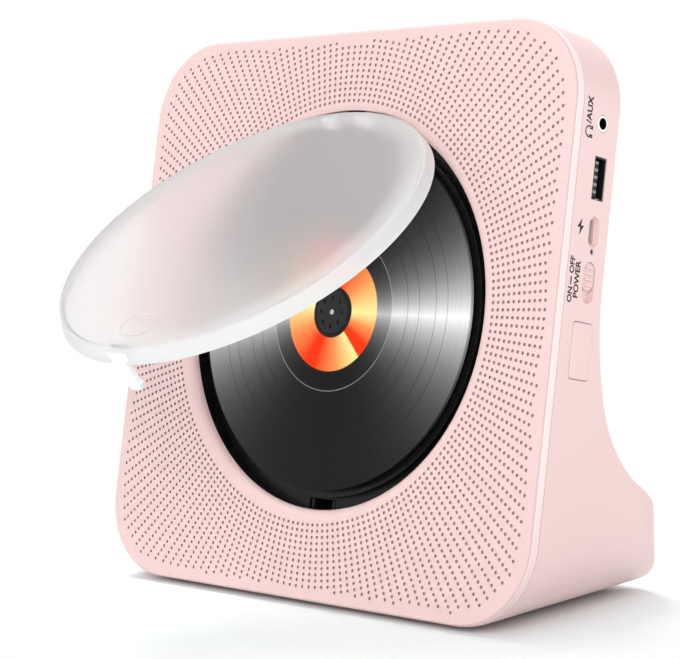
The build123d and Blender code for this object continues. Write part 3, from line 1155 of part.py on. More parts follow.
with BuildPart() as battery_tray:
    half_x = CELL_LENGTH / 2 + GAP
    half_y = 2 * CELL_RADIUS + 2 * GAP
    box(FLOOR, (-half_x - CELL_TRAY, half_x + CELL_TRAY), (-half_y - CELL_TRAY, half_y + CELL_TRAY),
        (CELL_RISE - CELL_TRAY - SEATED, CELL_RISE + CELL_RADIUS))
    box(FLOOR, (-half_x, half_x), (-half_y, half_y), (CELL_RISE - SEATED, CELL_RISE + 2 * CELL_RADIUS),
        Mode.SUBTRACT)
    for side in (-1, 1):
        for end in (-1, 1):
            box(FLOOR, (side * half_x - CELL_FOOT[0], side * half_x + CELL_FOOT[0]),
                (end * half_y - CELL_FOOT[1], end * half_y + CELL_FOOT[1]), (WALL, CELL_RISE - CELL_TRAY))
save(battery_tray, "battery_tray")

with BuildPart() as main_board:
    with BuildSketch(FLOOR.offset(MAIN_BOARD_RISE)):
        with Locations((0, MAIN_BOARD_Y)):
            Rectangle(MAIN_BOARD_LENGTH, MAIN_BOARD_WIDTH)
        with Locations(*MAIN_HOLES):
            Circle(SMALL_SCREW + HOLE_GAP, mode=Mode.SUBTRACT)
    extrude(amount=BOARD)
save(main_board, "main_board")

BOARD_TOP = MAIN_BOARD_RISE + BOARD
with BuildPart() as main_board_chips:
    for x, size in CHIP_PLACES:
        box(FLOOR, (x, x + size), (MAIN_BOARD_Y - size / 2, MAIN_BOARD_Y + size / 2),
            (BOARD_TOP, BOARD_TOP + CHIP_HEIGHT))
save(main_board_chips, "main_board_chips")

with BuildPart() as main_board_capacitors:
    for inset in CAN_INSETS:
        rod(FLOOR, (MAIN_BOARD_LENGTH / 2 - inset, MAIN_BOARD_Y), CAN_RADIUS, (BOARD_TOP, BOARD_TOP + CAN_HEIGHT))
save(main_board_capacitors, "main_board_capacitors")


# ------------------------------------------------------------------ side board, sockets and controls
with BuildPart() as side_board:
    block((SIDE_BOARD_INNER, SIDE_BOARD_EDGE), (SIDE_BOARD_LOW, SIDE_BOARD_HIGH),
          (SIDE_BOARD_DEPTH, SIDE_BOARD_DEPTH + BOARD))
    for v in SIDE_BOARD_HOLES:
        post(PAD_U, v, SMALL_SCREW + HOLE_GAP, (0, PANEL_SIZE), Mode.SUBTRACT)
save(side_board, "side_board")

with BuildPart() as headphone_jack:
    body = (HALF - WALL - JACK_BORE_LENGTH + WALL, HALF - WALL - GAP)
    side_block((JACK_V - JACK_BODY / 2, JACK_V + JACK_BODY / 2),
               (JACK_DEPTH - JACK_BODY / 2, SIDE_BOARD_DEPTH), (body[0] - JACK_BACK, body[1]))
    side_rod(JACK_V, JACK_DEPTH, JACK_NOSE, (body[1], HALF))
    side_rod(JACK_V, JACK_DEPTH, JACK_BORE, (HALF - JACK_BORE_LENGTH, HALF), Mode.SUBTRACT)
save(headphone_jack, "headphone_jack")


def socket_shell(v, depth, width, height, length, mouth, sheet, tongue):
    """Sheet-metal socket with a flat tongue inside, open to the right."""
    side_block((v - width / 2, v + width / 2), (depth - height / 2, depth + height / 2),
               (mouth - length, mouth))
    side_block((v - width / 2 + sheet, v + width / 2 - sheet),
               (depth - height / 2 + sheet, depth + height / 2 - sheet),
               (mouth - length + 2 * sheet, mouth), Mode.SUBTRACT)
    room = sheet + SOCKET_TONGUE_ROOM
    side_block((v - width / 2 + room, v + width / 2 - room),
               (depth - tongue / 2, depth + tongue / 2),
               (mouth - length, mouth - SOCKET_TONGUE_INSET))
    for end in (-1, 1):
        leg = v + end * (width / 2 - sheet)
        side_block((leg - sheet, leg + sheet), (depth, SIDE_BOARD_DEPTH),
                   (mouth - length, mouth - length + SOCKET_LEG))


with BuildPart() as usb_socket:
    socket_shell(USB_V, USB_DEPTH, USB_WIDTH, USB_HEIGHT, USB_LENGTH, HALF - GAP, USB_SHEET,
                 USB_TONGUE)
save(usb_socket, "usb_socket")

with BuildPart() as charge_socket:
    socket_shell(CHARGE_V, CHARGE_DEPTH, CHARGE_WIDTH, CHARGE_HEIGHT, CHARGE_LENGTH, HALF - WALL,
                 CHARGE_SHEET, CHARGE_TONGUE)
save(charge_socket, "charge_socket")

with BuildPart() as power_led:
    stem = HALF - WALL - LED_STEM
    side_rod(LED_V, CHARGE_DEPTH, LED_RADIUS, (stem, HALF - GAP))
    side_block((LED_V - LED_BODY / 2, LED_V + LED_BODY / 2),
               (CHARGE_DEPTH - LED_BODY / 2, SIDE_BOARD_DEPTH), (stem - LED_BODY, stem))
save(power_led, "power_led")

with BuildPart() as power_switch:
    side_block((SWITCH_V - SWITCH_LENGTH / 2, SWITCH_V + SWITCH_LENGTH / 2),
               (SWITCH_DEPTH - SWITCH_HEIGHT, SIDE_BOARD_DEPTH), SWITCH_BODY)
    side_block((LEVER_V - KNOB_TRAVEL - LEVER - GAP, LEVER_V + LEVER + GAP),
               (SWITCH_DEPTH - LEVER - GAP, SWITCH_DEPTH + LEVER + GAP),
               (SWITCH_BODY[1] - SWITCH_WELL, SWITCH_BODY[1]), Mode.SUBTRACT)
save(power_switch, "power_switch")

with BuildPart() as power_knob:
    knob_width = SWITCH_SLOT_WIDTH - 2 * SLIDE_GAP
    pill(SIDE, (KNOB_V, -SWITCH_DEPTH), KNOB_LENGTH, knob_width,
         (HALF - SWITCH_RECESS + SLIDE_GAP / 2, HALF - KNOB_SINK))
    for n in range(KNOB_RIB_COUNT):
        rib = KNOB_V + (n - (KNOB_RIB_COUNT - 1) / 2) * KNOB_RIB_PITCH
        side_block((rib - KNOB_RIB / 2, rib + KNOB_RIB / 2),
                   (SWITCH_DEPTH - knob_width / 3, SWITCH_DEPTH + knob_width / 3),
                   (HALF - KNOB_SINK, HALF - KNOB_SINK + KNOB_RIB))
    side_block((LEVER_V - LEVER, LEVER_V + LEVER), (SWITCH_DEPTH - LEVER, SWITCH_DEPTH + LEVER),
               (SWITCH_BODY[1] - SWITCH_WELL + GAP, HALF - SWITCH_RECESS + SLIDE_GAP / 2))
save(power_knob, "power_knob")

with BuildPart() as side_key:
    with BuildSketch(SIDE.offset(HALF - WALL)) as face:
        with Locations((KEY_V, -KEY_DEPTH)):
            RectangleRounded(KEY_LENGTH, KEY_WIDTH, KEY_CORNER)
    extrude(face.sketch, amount=WALL + KEY_RISE)
    fillet(side_key.faces().sort_by(Axis.X)[-1].edges(), KEY_ROUND)
    flange = KEY_LENGTH / 2 + KEY_FLANGE_REACH
    side_block((KEY_V - flange, KEY_V + flange),
               (KEY_DEPTH - KEY_WIDTH / 2 - KEY_FLANGE_REACH, SIDE_BOARD_DEPTH - GAP),
               (HALF - WALL - KEY_FLANGE, HALF - WALL - SLIDE_GAP / 2))
    side_block((KEY_V - KEY_LENGTH / 2, KEY_V + KEY_LENGTH / 2),
               (KEY_DEPTH - KEY_WIDTH / 2, SIDE_BOARD_DEPTH - GAP),
               (HALF - WALL - SLIDE_GAP, HALF - WALL))
save(side_key, "side_key")

with BuildPart() as side_key_switch:
    front = HALF - WALL - KEY_FLANGE - KEY_TRAVEL - GAP
    side_block((KEY_V - KEY_SWITCH / 2, KEY_V + KEY_SWITCH / 2),
               (KEY_DEPTH - KEY_SWITCH / 2, SIDE_BOARD_DEPTH),
               (front - KEY_SWITCH_HEIGHT, front - KEY_PLUNGER_RISE))
    side_rod(KEY_V, KEY_DEPTH, KEY_PLUNGER, (front - KEY_PLUNGER_RISE, front))
save(side_key_switch, "side_key_switch")


# ------------------------------------------------------------------ keys on the top
KEY_BOARD_TOP = KEY_BOARD_V + BOARD
KEY_DEPTHS = (TOP_KEY_DEPTH - TOP_KEY_WIDTH / 2, TOP_KEY_DEPTH + TOP_KEY_WIDTH / 2)

with BuildPart() as key_board:
    block((-KEY_BOARD_HALF, KEY_BOARD_HALF), (KEY_BOARD_V, KEY_BOARD_TOP),
          (TOP_KEY_DEPTH - LEDGE / 2, INNER_BACK - GAP))
    for u in KEY_BOARD_HOLES:
        rod(KEY_PLANE, (u, TOP_KEY_DEPTH), SMALL_SCREW + HOLE_GAP, (KEY_BOARD_V, KEY_BOARD_TOP),
            Mode.SUBTRACT)
save(key_board, "key_board")

with BuildPart() as key_switches:
    for u in TOP_KEY_PLACES:
        top = PANEL_TOP - WALL - TOP_KEY_LIP - KEY_TRAVEL - GAP
        block((u - KEY_SWITCH / 2, u + KEY_SWITCH / 2), (KEY_BOARD_TOP, top - KEY_PLUNGER_RISE),
              (TOP_KEY_DEPTH - KEY_SWITCH / 2, TOP_KEY_DEPTH + KEY_SWITCH / 2))
        rod(KEY_PLANE, (u, TOP_KEY_DEPTH), KEY_PLUNGER, (top - KEY_PLUNGER_RISE, top))
save(key_switches, "key_switches")

for key_name, u in zip(TOP_KEYS, TOP_KEY_PLACES):
    with BuildPart() as key:
        block((u - TOP_KEY_LENGTH / 2, u + TOP_KEY_LENGTH / 2),
              (PANEL_TOP - WALL - GAP / 2, PANEL_TOP + TOP_KEY_RISE), KEY_DEPTHS)
        fillet(key.faces().sort_by(Axis(CENTRE, UP))[-1].edges(), TOP_KEY_ROUND)
        block((u - TOP_KEY_LENGTH / 2 - TOP_KEY_LIP, u + TOP_KEY_LENGTH / 2 + TOP_KEY_LIP),
              (PANEL_TOP - WALL - TOP_KEY_LIP, PANEL_TOP - WALL - GAP / 2),
              (KEY_DEPTHS[0] - TOP_KEY_LIP, KEY_DEPTHS[1] + TOP_KEY_LIP))
    save(key, key_name)

with BuildPart() as board_screws:
    for v in SIDE_BOARD_HOLES:
        screw(PANEL, (PAD_U, v), SMALL_SCREW, SMALL_HEAD, SMALL_HEAD_HEIGHT,
              (-INNER_BACK - SCREW_BLIND, -SIDE_BOARD_DEPTH))
    for place in MAIN_HOLES:
        screw(FLOOR, place, SMALL_SCREW, SMALL_HEAD, SMALL_HEAD_HEIGHT,
              (MAIN_BOARD_RISE - MAIN_SCREW, BOARD_TOP))
    for u in KEY_BOARD_HOLES:
        screw(KEY_PLANE, (u, TOP_KEY_DEPTH), SMALL_SCREW, SMALL_HEAD, SMALL_HEAD_HEIGHT,
              (KEY_BOARD_V - LEDGE_HEIGHT + SCREW_BLIND, KEY_BOARD_TOP))
save(board_screws, "board_screws")
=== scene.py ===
# %% [markdown]
# # A desk disc player
# The solid model already holds every piece at its real size and place. This lesson adds what solids
# can't show: pink moulded plastic, thousands of small sound holes, a frosted lid, a dark ringed disc
# and the light of a plain studio. Each step says what the piece is, how it could be made, and why
# this way was chosen.

# %% Load the solid model
import json
import math

import bmesh
import bpy
from mathutils import Matrix, Vector


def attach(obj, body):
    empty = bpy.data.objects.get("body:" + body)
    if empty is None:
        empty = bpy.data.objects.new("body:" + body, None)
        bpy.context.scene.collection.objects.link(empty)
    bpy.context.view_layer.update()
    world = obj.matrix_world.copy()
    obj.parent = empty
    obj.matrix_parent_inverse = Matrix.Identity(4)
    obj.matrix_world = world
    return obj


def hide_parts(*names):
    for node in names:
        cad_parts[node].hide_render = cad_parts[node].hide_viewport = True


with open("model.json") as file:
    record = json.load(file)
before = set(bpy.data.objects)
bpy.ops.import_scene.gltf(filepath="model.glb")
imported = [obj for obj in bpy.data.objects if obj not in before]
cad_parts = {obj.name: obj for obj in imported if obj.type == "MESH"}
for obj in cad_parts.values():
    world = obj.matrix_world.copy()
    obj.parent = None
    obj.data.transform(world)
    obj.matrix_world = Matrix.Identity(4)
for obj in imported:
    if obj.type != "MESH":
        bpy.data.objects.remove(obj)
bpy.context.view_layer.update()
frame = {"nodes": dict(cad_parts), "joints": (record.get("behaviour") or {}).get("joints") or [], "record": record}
nodes = frame["nodes"]
joints = {joint["name"]: joint for joint in frame["joints"]}

# %% [markdown]
# ## Places on the leaning panel
# Nearly everything sits on the front panel, which leans back. Measuring along the world's axes would
# hide simple sizes behind sines and cosines, so places are given as three distances in millimetres
# from the disc's axis: to the right, up the panel, and behind its face. The disc's own joint tells
# where that axis is and which way it points.

# %% The panel's three directions
MM = 0.001
OUT = Vector(joints["disc_spin"]["axis"]).normalized()
CENTRE = Vector(joints["disc_spin"]["pos_m"])
RIGHT = Vector((1.0, 0.0, 0.0))
UP = OUT.cross(RIGHT)


def along(right, up, out):
    """Direction or distance given along the panel's three directions."""
    return RIGHT * right + UP * up + OUT * out


def place(right, up, depth):
    """Point on or behind the panel, in metres."""
    return CENTRE + along(right, up, -depth) * MM


LEAN = math.asin(OUT.z)
print("panel leans back", round(math.degrees(LEAN), 1), "degrees")

# %% [markdown]
# ## Camera
# The view is a fairly long lens from the right, a little above the table. A long lens keeps the
# square front from tapering much. The camera is described in the panel's directions too, because
# that is how it was lined up with the rows of sound holes.

# %% Camera
CAMERA_PLACE = (487.232, -52.375, -506.937)
CAMERA_RIGHT = (0.7268297, 0.1090247, -0.6781093)
CAMERA_DOWN = (0.0340848, -0.9918298, -0.1229302)
LENS = 111.395

camera = bpy.data.objects.new("camera", bpy.data.cameras.new("camera"))
bpy.context.scene.collection.objects.link(camera)
camera_right = along(*CAMERA_RIGHT).normalized()
camera_up = -along(*CAMERA_DOWN).normalized()
camera_back = camera_right.cross(camera_up)
turned = Matrix((camera_right, camera_up, camera_back)).transposed()
camera.matrix_world = Matrix.Translation(place(*CAMERA_PLACE)) @ turned.to_4x4()
camera.data.lens = LENS
camera.data.clip_start = 0.01
camera.data.clip_end = 100.0
bpy.context.scene.camera = camera
print("camera at", [round(x, 3) for x in camera.location])

# %% [markdown]
# ## Small helpers for shader nodes
# A material is a graph of nodes. Writing each node and each link on lines of its own is long, so one
# helper makes a node, fills its inputs with numbers or with links from other nodes, and gives it
# back. The same helper serves geometry trees.


# %% Node helpers
def node(tree, kind, inputs=None, **settings):
    """Add a node, set its options, and fill or link its inputs."""
    made = tree.nodes.new(kind)
    for name, value in settings.items():
        setattr(made, name, value)
    for name, value in (inputs or {}).items():
        if isinstance(value, bpy.types.NodeSocket):
            tree.links.new(value, made.inputs[name])
        else:
            made.inputs[name].default_value = value
    return made


def calculate(tree, operation, *values):
    """One Math node, as a socket."""
    return node(tree, "ShaderNodeMath", dict(enumerate(values)), operation=operation).outputs[0]


def vector(tree, operation, *values):
    """One Vector Math node; the result is a vector, or a number for DOT_PRODUCT and LENGTH."""
    made = node(tree, "ShaderNodeVectorMath", dict(enumerate(values)), operation=operation)
    return made.outputs[1 if operation in ("DOT_PRODUCT", "LENGTH") else 0]


def ramp(tree, factor, stops, interpolation="LINEAR"):
    """Colour ramp; each stop is a place and a colour."""
    made = node(tree, "ShaderNodeValToRGB", {0: factor})
    made.color_ramp.interpolation = interpolation
    elements = made.color_ramp.elements
    while len(elements) < len(stops):
        elements.new(1.0)
    for element, (position, colour) in zip(elements, stops):
        element.position = position
        element.color = colour
    return made.outputs["Color"]


def map_range(tree, value, low, high, to_low=0.0, to_high=1.0):
    """Value between two limits, stretched to two others."""
    return node(
        tree, "ShaderNodeMapRange",
        {"Value": value, "From Min": low, "From Max": high, "To Min": to_low, "To Max": to_high},
    ).outputs[0]


def ring_mask(tree, distance, inner, outer, soft=0.12):
    """1 between two distances and 0 elsewhere, with a short soft edge."""
    rise = map_range(tree, distance, inner - soft, inner + soft)
    fall = map_range(tree, distance, outer - soft, outer + soft)
    return calculate(tree, "SUBTRACT", rise, fall)


def blend_colour(tree, factor, below, above):
    """Mix of two colours."""
    return node(tree, "ShaderNodeMixRGB", {"Fac": factor, "Color1": below, "Color2": above}).outputs[0]


def srgb(red, green, blue, alpha=1.0):
    """Linear colour of a screen colour given from 0 to 255."""
    def linear(value):
        value /= 255
        return value / 12.92 if value <= 0.04045 else ((value + 0.055) / 1.055) ** 2.4

    return (linear(red), linear(green), linear(blue), alpha)


def new_group(name, inputs, outputs):
    """Empty shader group with named sockets; inputs are name, kind and value."""
    tree = bpy.data.node_groups.new(name, "ShaderNodeTree")
    for title, kind, value in inputs:
        socket = tree.interface.new_socket(name=title, in_out="INPUT", socket_type=kind)
        socket.default_value = value
    for title, kind in outputs:
        tree.interface.new_socket(name=title, in_out="OUTPUT", socket_type=kind)
    source = tree.nodes.new("NodeGroupInput")
    result = tree.nodes.new("NodeGroupOutput")
    return tree, source, result


print("helpers ready")

# %% [markdown]
# ## Shared effect: where a point lies on the panel
# Rings on the disc, the printed label and the shading of the well all follow the disc's axis. One
# group turns the object's coordinates into millimetres to the right, up and behind the panel, with
# the radius and the turn round the axis. Every piece's object sits at the origin, so the coordinates
# mean the same place on all of them.

# %% Panel place group
FLOAT = "NodeSocketFloat"
COLOUR = "NodeSocketColor"

panel_place, _, place_out = new_group(
    "Panel place", [],
    [("Right", FLOAT), ("Up", FLOAT), ("Depth", FLOAT), ("Radius", FLOAT), ("Turn", FLOAT)],
)
here = node(panel_place, "ShaderNodeTexCoord").outputs["Object"]
offset = vector(panel_place, "SUBTRACT", here, tuple(CENTRE))
right = vector(panel_place, "DOT_PRODUCT", offset, tuple(RIGHT / MM))
up = vector(panel_place, "DOT_PRODUCT", offset, tuple(UP / MM))
depth = vector(panel_place, "DOT_PRODUCT", offset, tuple(-OUT / MM))
flat = node(panel_place, "ShaderNodeCombineXYZ", {"X": right, "Y": up}).outputs[0]
radius = vector(panel_place, "LENGTH", flat)
angle = calculate(panel_place, "ARCTAN2", up, right)
turn = calculate(panel_place, "FRACT", calculate(panel_place, "DIVIDE", angle, 2 * math.pi))
for title, socket in zip(("Right", "Up", "Depth", "Radius", "Turn"), (right, up, depth, radius, turn)):
    panel_place.links.new(socket, place_out.inputs[title])
print("group:", panel_place.name)


# %% Places inside a material
def spots(tree):
    """Outputs of the place group, added to a material."""
    return node(tree, "ShaderNodeGroup", node_tree=panel_place).outputs


def flat_vector(tree, across, up):
    """Vector of two numbers."""
    return node(tree, "ShaderNodeCombineXYZ", {"X": across, "Y": up}).outputs[0]


print("place helpers ready")

# %% [markdown]
# ## Shared effect: moulded plastic
# Moulded plastic is never one flat colour. Its surface has a fine spark-eroded grain, its gloss
# changes a little from place to place, and large areas drift slightly in colour. One group makes
# all three from noise at the right scale, and each material gives it its own colour and amounts.

# %% Moulded plastic group
CLOUDS_PER_METRE = 28.0
GRAIN_HEIGHT = 0.00002

moulded, moulded_in, moulded_out = new_group(
    "Moulded plastic",
    [
        ("Colour", COLOUR, (0.8, 0.8, 0.8, 1.0)),
        ("Drift", FLOAT, 0.03),
        ("Gloss", FLOAT, 0.4),
        ("Gloss change", FLOAT, 0.06),
        ("Grain per metre", FLOAT, 2600.0),
    ],
    [("Colour", COLOUR), ("Roughness", FLOAT), ("Height", FLOAT)],
)
here = node(moulded, "ShaderNodeTexCoord").outputs["Object"]
clouds = node(
    moulded, "ShaderNodeTexNoise", {"Vector": here, "Scale": CLOUDS_PER_METRE, "Detail": 3.0}
).outputs["Fac"]
grain = node(
    moulded, "ShaderNodeTexNoise",
    {"Vector": here, "Scale": moulded_in.outputs["Grain per metre"], "Detail": 1.0},
).outputs["Fac"]
shift = calculate(
    moulded, "MULTIPLY", calculate(moulded, "SUBTRACT", clouds, 0.5), moulded_in.outputs["Drift"]
)
drifted = node(
    moulded, "ShaderNodeHueSaturation",
    {"Color": moulded_in.outputs["Colour"], "Value": calculate(moulded, "ADD", 1.0, shift)},
)
change = calculate(
    moulded, "MULTIPLY", calculate(moulded, "SUBTRACT", grain, 0.5), moulded_in.outputs["Gloss change"]
)
moulded.links.new(drifted.outputs[0], moulded_out.inputs["Colour"])
moulded.links.new(
    calculate(moulded, "ADD", moulded_in.outputs["Gloss"], change), moulded_out.inputs["Roughness"]
)
moulded.links.new(grain, moulded_out.inputs["Height"])
print("group:", moulded.name)


# %% Materials from the groups
def new_material(name):
    """Material with its tree and its Principled shader."""
    material = bpy.data.materials.new(name)
    material.use_nodes = True
    return material, material.node_tree, material.node_tree.nodes["Principled BSDF"]


def moulded_body(tree, colour, drift, gloss, gloss_change, grain):
    """Outputs of the moulded plastic group, added to a material."""
    values = {
        "Colour": colour, "Drift": drift, "Gloss": gloss, "Gloss change": gloss_change,
        "Grain per metre": grain,
    }
    return node(tree, "ShaderNodeGroup", values, node_tree=moulded).outputs


def plastic(name, colour, gloss, drift=0.03, bump=0.05, grain=2600.0, gloss_change=0.06, **shader_values):
    """Moulded plastic of one colour."""
    material, tree, shader = new_material(name)
    body = moulded_body(tree, colour, drift, gloss, gloss_change, grain)
    tree.links.new(body["Colour"], shader.inputs["Base Color"])
    tree.links.new(body["Roughness"], shader.inputs["Roughness"])
    relief = node(
        tree, "ShaderNodeBump", {"Height": body["Height"], "Distance": GRAIN_HEIGHT, "Strength": bump}
    )
    tree.links.new(relief.outputs["Normal"], shader.inputs["Normal"])
    for title, value in shader_values.items():
        shader.inputs[title.replace("_", " ")].default_value = value
    return material


PINK = srgb(233, 202, 200)
pink_front = plastic("pink front", PINK, gloss=0.42, Specular_IOR_Level=0.3)
pink_shell = plastic("pink shell", PINK, gloss=0.34, Specular_IOR_Level=0.5)
# Inside the shallow holes the pink is painted darker: painted shade for the depth of a sound hole.
hole_shade = plastic("hole shade", srgb(184, 158, 156), gloss=0.7, Specular_IOR_Level=0.1)
black_plastic = plastic("black plastic", srgb(20, 20, 21), gloss=0.28, bump=0.08, Specular_IOR_Level=0.2)
white_plastic = plastic("white plastic", srgb(242, 242, 242), gloss=0.35)
hub_plastic = plastic("hub grey", srgb(44, 44, 46), gloss=0.45, Specular_IOR_Level=0.12)
lamp_plastic = plastic("dark lamp", srgb(38, 30, 30), gloss=0.3)
pale_socket = plastic("pale socket", srgb(214, 202, 200), gloss=0.4, Specular_IOR_Level=0.2)
ink = plastic("printing ink", srgb(66, 54, 54), gloss=0.6, Specular_IOR_Level=0.1)
rubber = plastic(
    "black rubber", srgb(24, 24, 24), gloss=0.8, bump=0.3, grain=1500.0, Specular_IOR_Level=0.2
)
board_mask = plastic("board lacquer", srgb(22, 84, 52), gloss=0.35, drift=0.2)
cell_wrap = plastic("cell wrap", srgb(40, 96, 150), gloss=0.3)
paper = plastic("speaker paper", srgb(46, 44, 44), gloss=0.9, bump=0.6, grain=900.0)
print("plastics ready")

# %% [markdown]
# ## The front's rim
# The front's rounded rim is painted lighter than the flat faces on both sides of it, a painted highlight
# for the light it catches, and a fine dark line parts it from the perforated face. Both follow the depth
# behind the face, outside the well, and the painted highlight fades towards the table.

# %% Rim of the front, with a painted highlight
RIM_PAINTED_HIGHLIGHT_AND_LINE = {
    "outside": 80.0, "line": (0.15, 0.55), "line soft": 0.1, "line strength": 0.5, "band": (0.5, 0.7),
    "highlight fade": (-90.0, -50.0), "least highlight": 0.3,
}
edge_tree = pink_front.node_tree
edge_shader = edge_tree.nodes["Principled BSDF"]
spot = spots(edge_tree)
outer = calculate(edge_tree, "GREATER_THAN", spot["Radius"], RIM_PAINTED_HIGHLIGHT_AND_LINE["outside"])
line = calculate(
    edge_tree, "MULTIPLY", outer, ring_mask(edge_tree, spot["Depth"], *RIM_PAINTED_HIGHLIGHT_AND_LINE["line"], RIM_PAINTED_HIGHLIGHT_AND_LINE["line soft"])
)
# Painted highlight on the rounded rim, weaker towards the table.
band = calculate(edge_tree, "MULTIPLY", outer, map_range(edge_tree, spot["Depth"], *RIM_PAINTED_HIGHLIGHT_AND_LINE["band"]))
band = calculate(
    edge_tree, "MULTIPLY", band, map_range(edge_tree, spot["Up"], *RIM_PAINTED_HIGHLIGHT_AND_LINE["highlight fade"], RIM_PAINTED_HIGHLIGHT_AND_LINE["least highlight"], 1.0)
)
colour = edge_shader.inputs["Base Color"].links[0].from_socket
# Lay the painted highlight over the pink.
colour = blend_colour(edge_tree, band, colour, srgb(246, 226, 225))
line = calculate(edge_tree, "MULTIPLY", line, RIM_PAINTED_HIGHLIGHT_AND_LINE["line strength"])
colour = blend_colour(edge_tree, line, colour, srgb(190, 160, 160))
edge_tree.links.new(colour, edge_shader.inputs["Base Color"])
print("rim ready")

# %% [markdown]
# ## Metals, lens and lamp
# The screws, pins and plates inside are plated steel. What tells polished from plated metal is
# mainly roughness, and a plated sheet also shows faint mottling, so both come from one function with
# a noise that follows the object.


# %% Metals and glass
WORN = 0.8


def metal(name, colour, roughness, mottle, scale):
    """Plated or polished metal with a mottled gloss."""
    material, tree, shader = new_material(name)
    here = node(tree, "ShaderNodeTexCoord").outputs["Object"]
    patches = node(
        tree, "ShaderNodeTexNoise", {"Vector": here, "Scale": scale, "Detail": 4.0}
    ).outputs["Fac"]
    gloss = calculate(tree, "MULTIPLY_ADD", patches, mottle, roughness - mottle / 2)
    tree.links.new(gloss, shader.inputs["Roughness"])
    dark = tuple(WORN * value for value in colour[:3]) + (1.0,)
    tree.links.new(ramp(tree, patches, ((0.3, dark), (0.7, colour))), shader.inputs["Base Color"])
    shader.inputs["Metallic"].default_value = 1.0
    return material


polished_steel = metal("polished steel", srgb(214, 214, 216), 0.18, 0.1, 400.0)
sheet_steel = metal("sheet steel", srgb(188, 190, 194), 0.38, 0.2, 160.0)

lens_glass, lens_tree, lens_shader = new_material("lens glass")
# The lens colour runs from dark blue at the bottom to a lighter violet at the top.
lens_colour_by_height = ramp(
    lens_tree, calculate(lens_tree, "MULTIPLY_ADD", spots(lens_tree)["Up"], 0.25, 0.5),
    ((0.0, srgb(60, 70, 120)), (1.0, srgb(110, 90, 160))),
)
lens_tree.links.new(lens_colour_by_height, lens_shader.inputs["Base Color"])
lens_shader.inputs["Roughness"].default_value = 0.05
lens_shader.inputs["Coat Weight"].default_value = 1.0
print("metals ready")

# %% [markdown]
# ## Sockets
# A socket looks dark inside. The long one is black with a row of grey contacts on its tongue, and the
# headphone socket is a white sleeve whose bore is painted near-black, painted shade for the hole's
# depth. Both finishes are masks in the panel's millimetres, so the solid pieces need no cutting up.

# %% Socket finishes
CONTACTS = {"pitch": 2.3, "front": 14.4, "back": 16.2, "soft": 0.05, "threshold": 0.3, "right": 93.5}
BORE = {"radius": 1.86, "soft": 0.02}
mounts = {mount["name"]: mount for mount in frame["record"]["mounts"]}
jack = (Vector(mounts["headphone_jack"]["pos_m"]) - CENTRE) / MM

socket_finish, socket_tree, socket_shader = new_material("socket with contacts")
spot = spots(socket_tree)
tongue = ring_mask(socket_tree, spot["Depth"], CONTACTS["front"], CONTACTS["back"], CONTACTS["soft"])
wave = calculate(
    socket_tree, "SINE", calculate(socket_tree, "MULTIPLY", spot["Up"], 2 * math.pi / CONTACTS["pitch"])
)
stripe = calculate(socket_tree, "GREATER_THAN", wave, CONTACTS["threshold"])
near = calculate(socket_tree, "GREATER_THAN", spot["Right"], CONTACTS["right"])
contact = calculate(socket_tree, "MULTIPLY", calculate(socket_tree, "MULTIPLY", tongue, stripe), near)
socket_tree.links.new(
    blend_colour(socket_tree, contact, srgb(22, 22, 24), srgb(150, 150, 152)),
    socket_shader.inputs["Base Color"],
)
socket_shader.inputs["Roughness"].default_value = 0.35
socket_shader.inputs["Specular IOR Level"].default_value = 0.25

sleeve, sleeve_tree, sleeve_shader = new_material("white sleeve with painted shade in its bore")
spot = spots(sleeve_tree)
from_bore = flat_vector(
    sleeve_tree,
    calculate(sleeve_tree, "SUBTRACT", spot["Up"], jack.dot(UP)),
    calculate(sleeve_tree, "ADD", spot["Depth"], jack.dot(OUT)),
)
# Painted shade: within the bore's radius of the jack's axis the sleeve is painted near-black.
in_bore = ring_mask(
    sleeve_tree, vector(sleeve_tree, "LENGTH", from_bore), -1.0, BORE["radius"], BORE["soft"]
)
sleeve_tree.links.new(
    blend_colour(sleeve_tree, in_bore, srgb(250, 248, 248), srgb(16, 14, 14)),
    sleeve_shader.inputs["Base Color"],
)
sleeve_shader.inputs["Roughness"].default_value = 0.4
sleeve_shader.inputs["Specular IOR Level"].default_value = 0.2
print("sockets ready")

# %% [markdown]
# ## The disc
# The disc imitates a long-playing record: a dark face with fine rings, and a small label whose colour
# runs round from red to yellow. The two bright fans on the face are a painted highlight, the sheen of
# the grooves, and the label's pale fans are partly its print and partly the same painted highlight.
# Being colour, they turn with the disc. The solid disc is right as it is, so only its finish is made.
# Each fan, on the grooves and on the label, has a middle at some part of a turn and fades to both
# sides by a formula. The rings follow the radius. Turn and radius both come from the shared group.

# %% Disc finish, with painted highlight fans
LABEL_RADIUS = 20.0
BORE_RING = 8.6
DEAD_WAX = 26.5
LAST_RING = 59.3
GROOVE_PITCH = 0.6
GROOVE_DEPTH = 0.000004
TRACK_GAPS = (33.5, 38.4, 45.5, 50.4)
TRACK_GAP = 0.14
BRIGHT_LINE = 0.3
# A painted highlight fan's middle as part of a turn, with its strength, or with its spread before and after the
# middle.
PAINTED_HIGHLIGHT_FANS = ((0.0, 0.92), (0.52, 0.78))
FAN_WIDTH = 0.033
LABEL_PRINT_AND_PAINTED_HIGHLIGHT_FANS = ((0.0, 0.09, 0.21), (0.47, 0.20, 0.19), (0.87, 0.17, 0.004))

disc_face, disc_tree, disc_shader = new_material("record face")
spot = spots(disc_tree)


def turn_from(middle):
    """Part of a turn past a fan's middle, from -0.5 to 0.5."""
    apart = calculate(disc_tree, "SUBTRACT", spot["Turn"], middle)
    return calculate(disc_tree, "WRAP", apart, 0.5, -0.5)


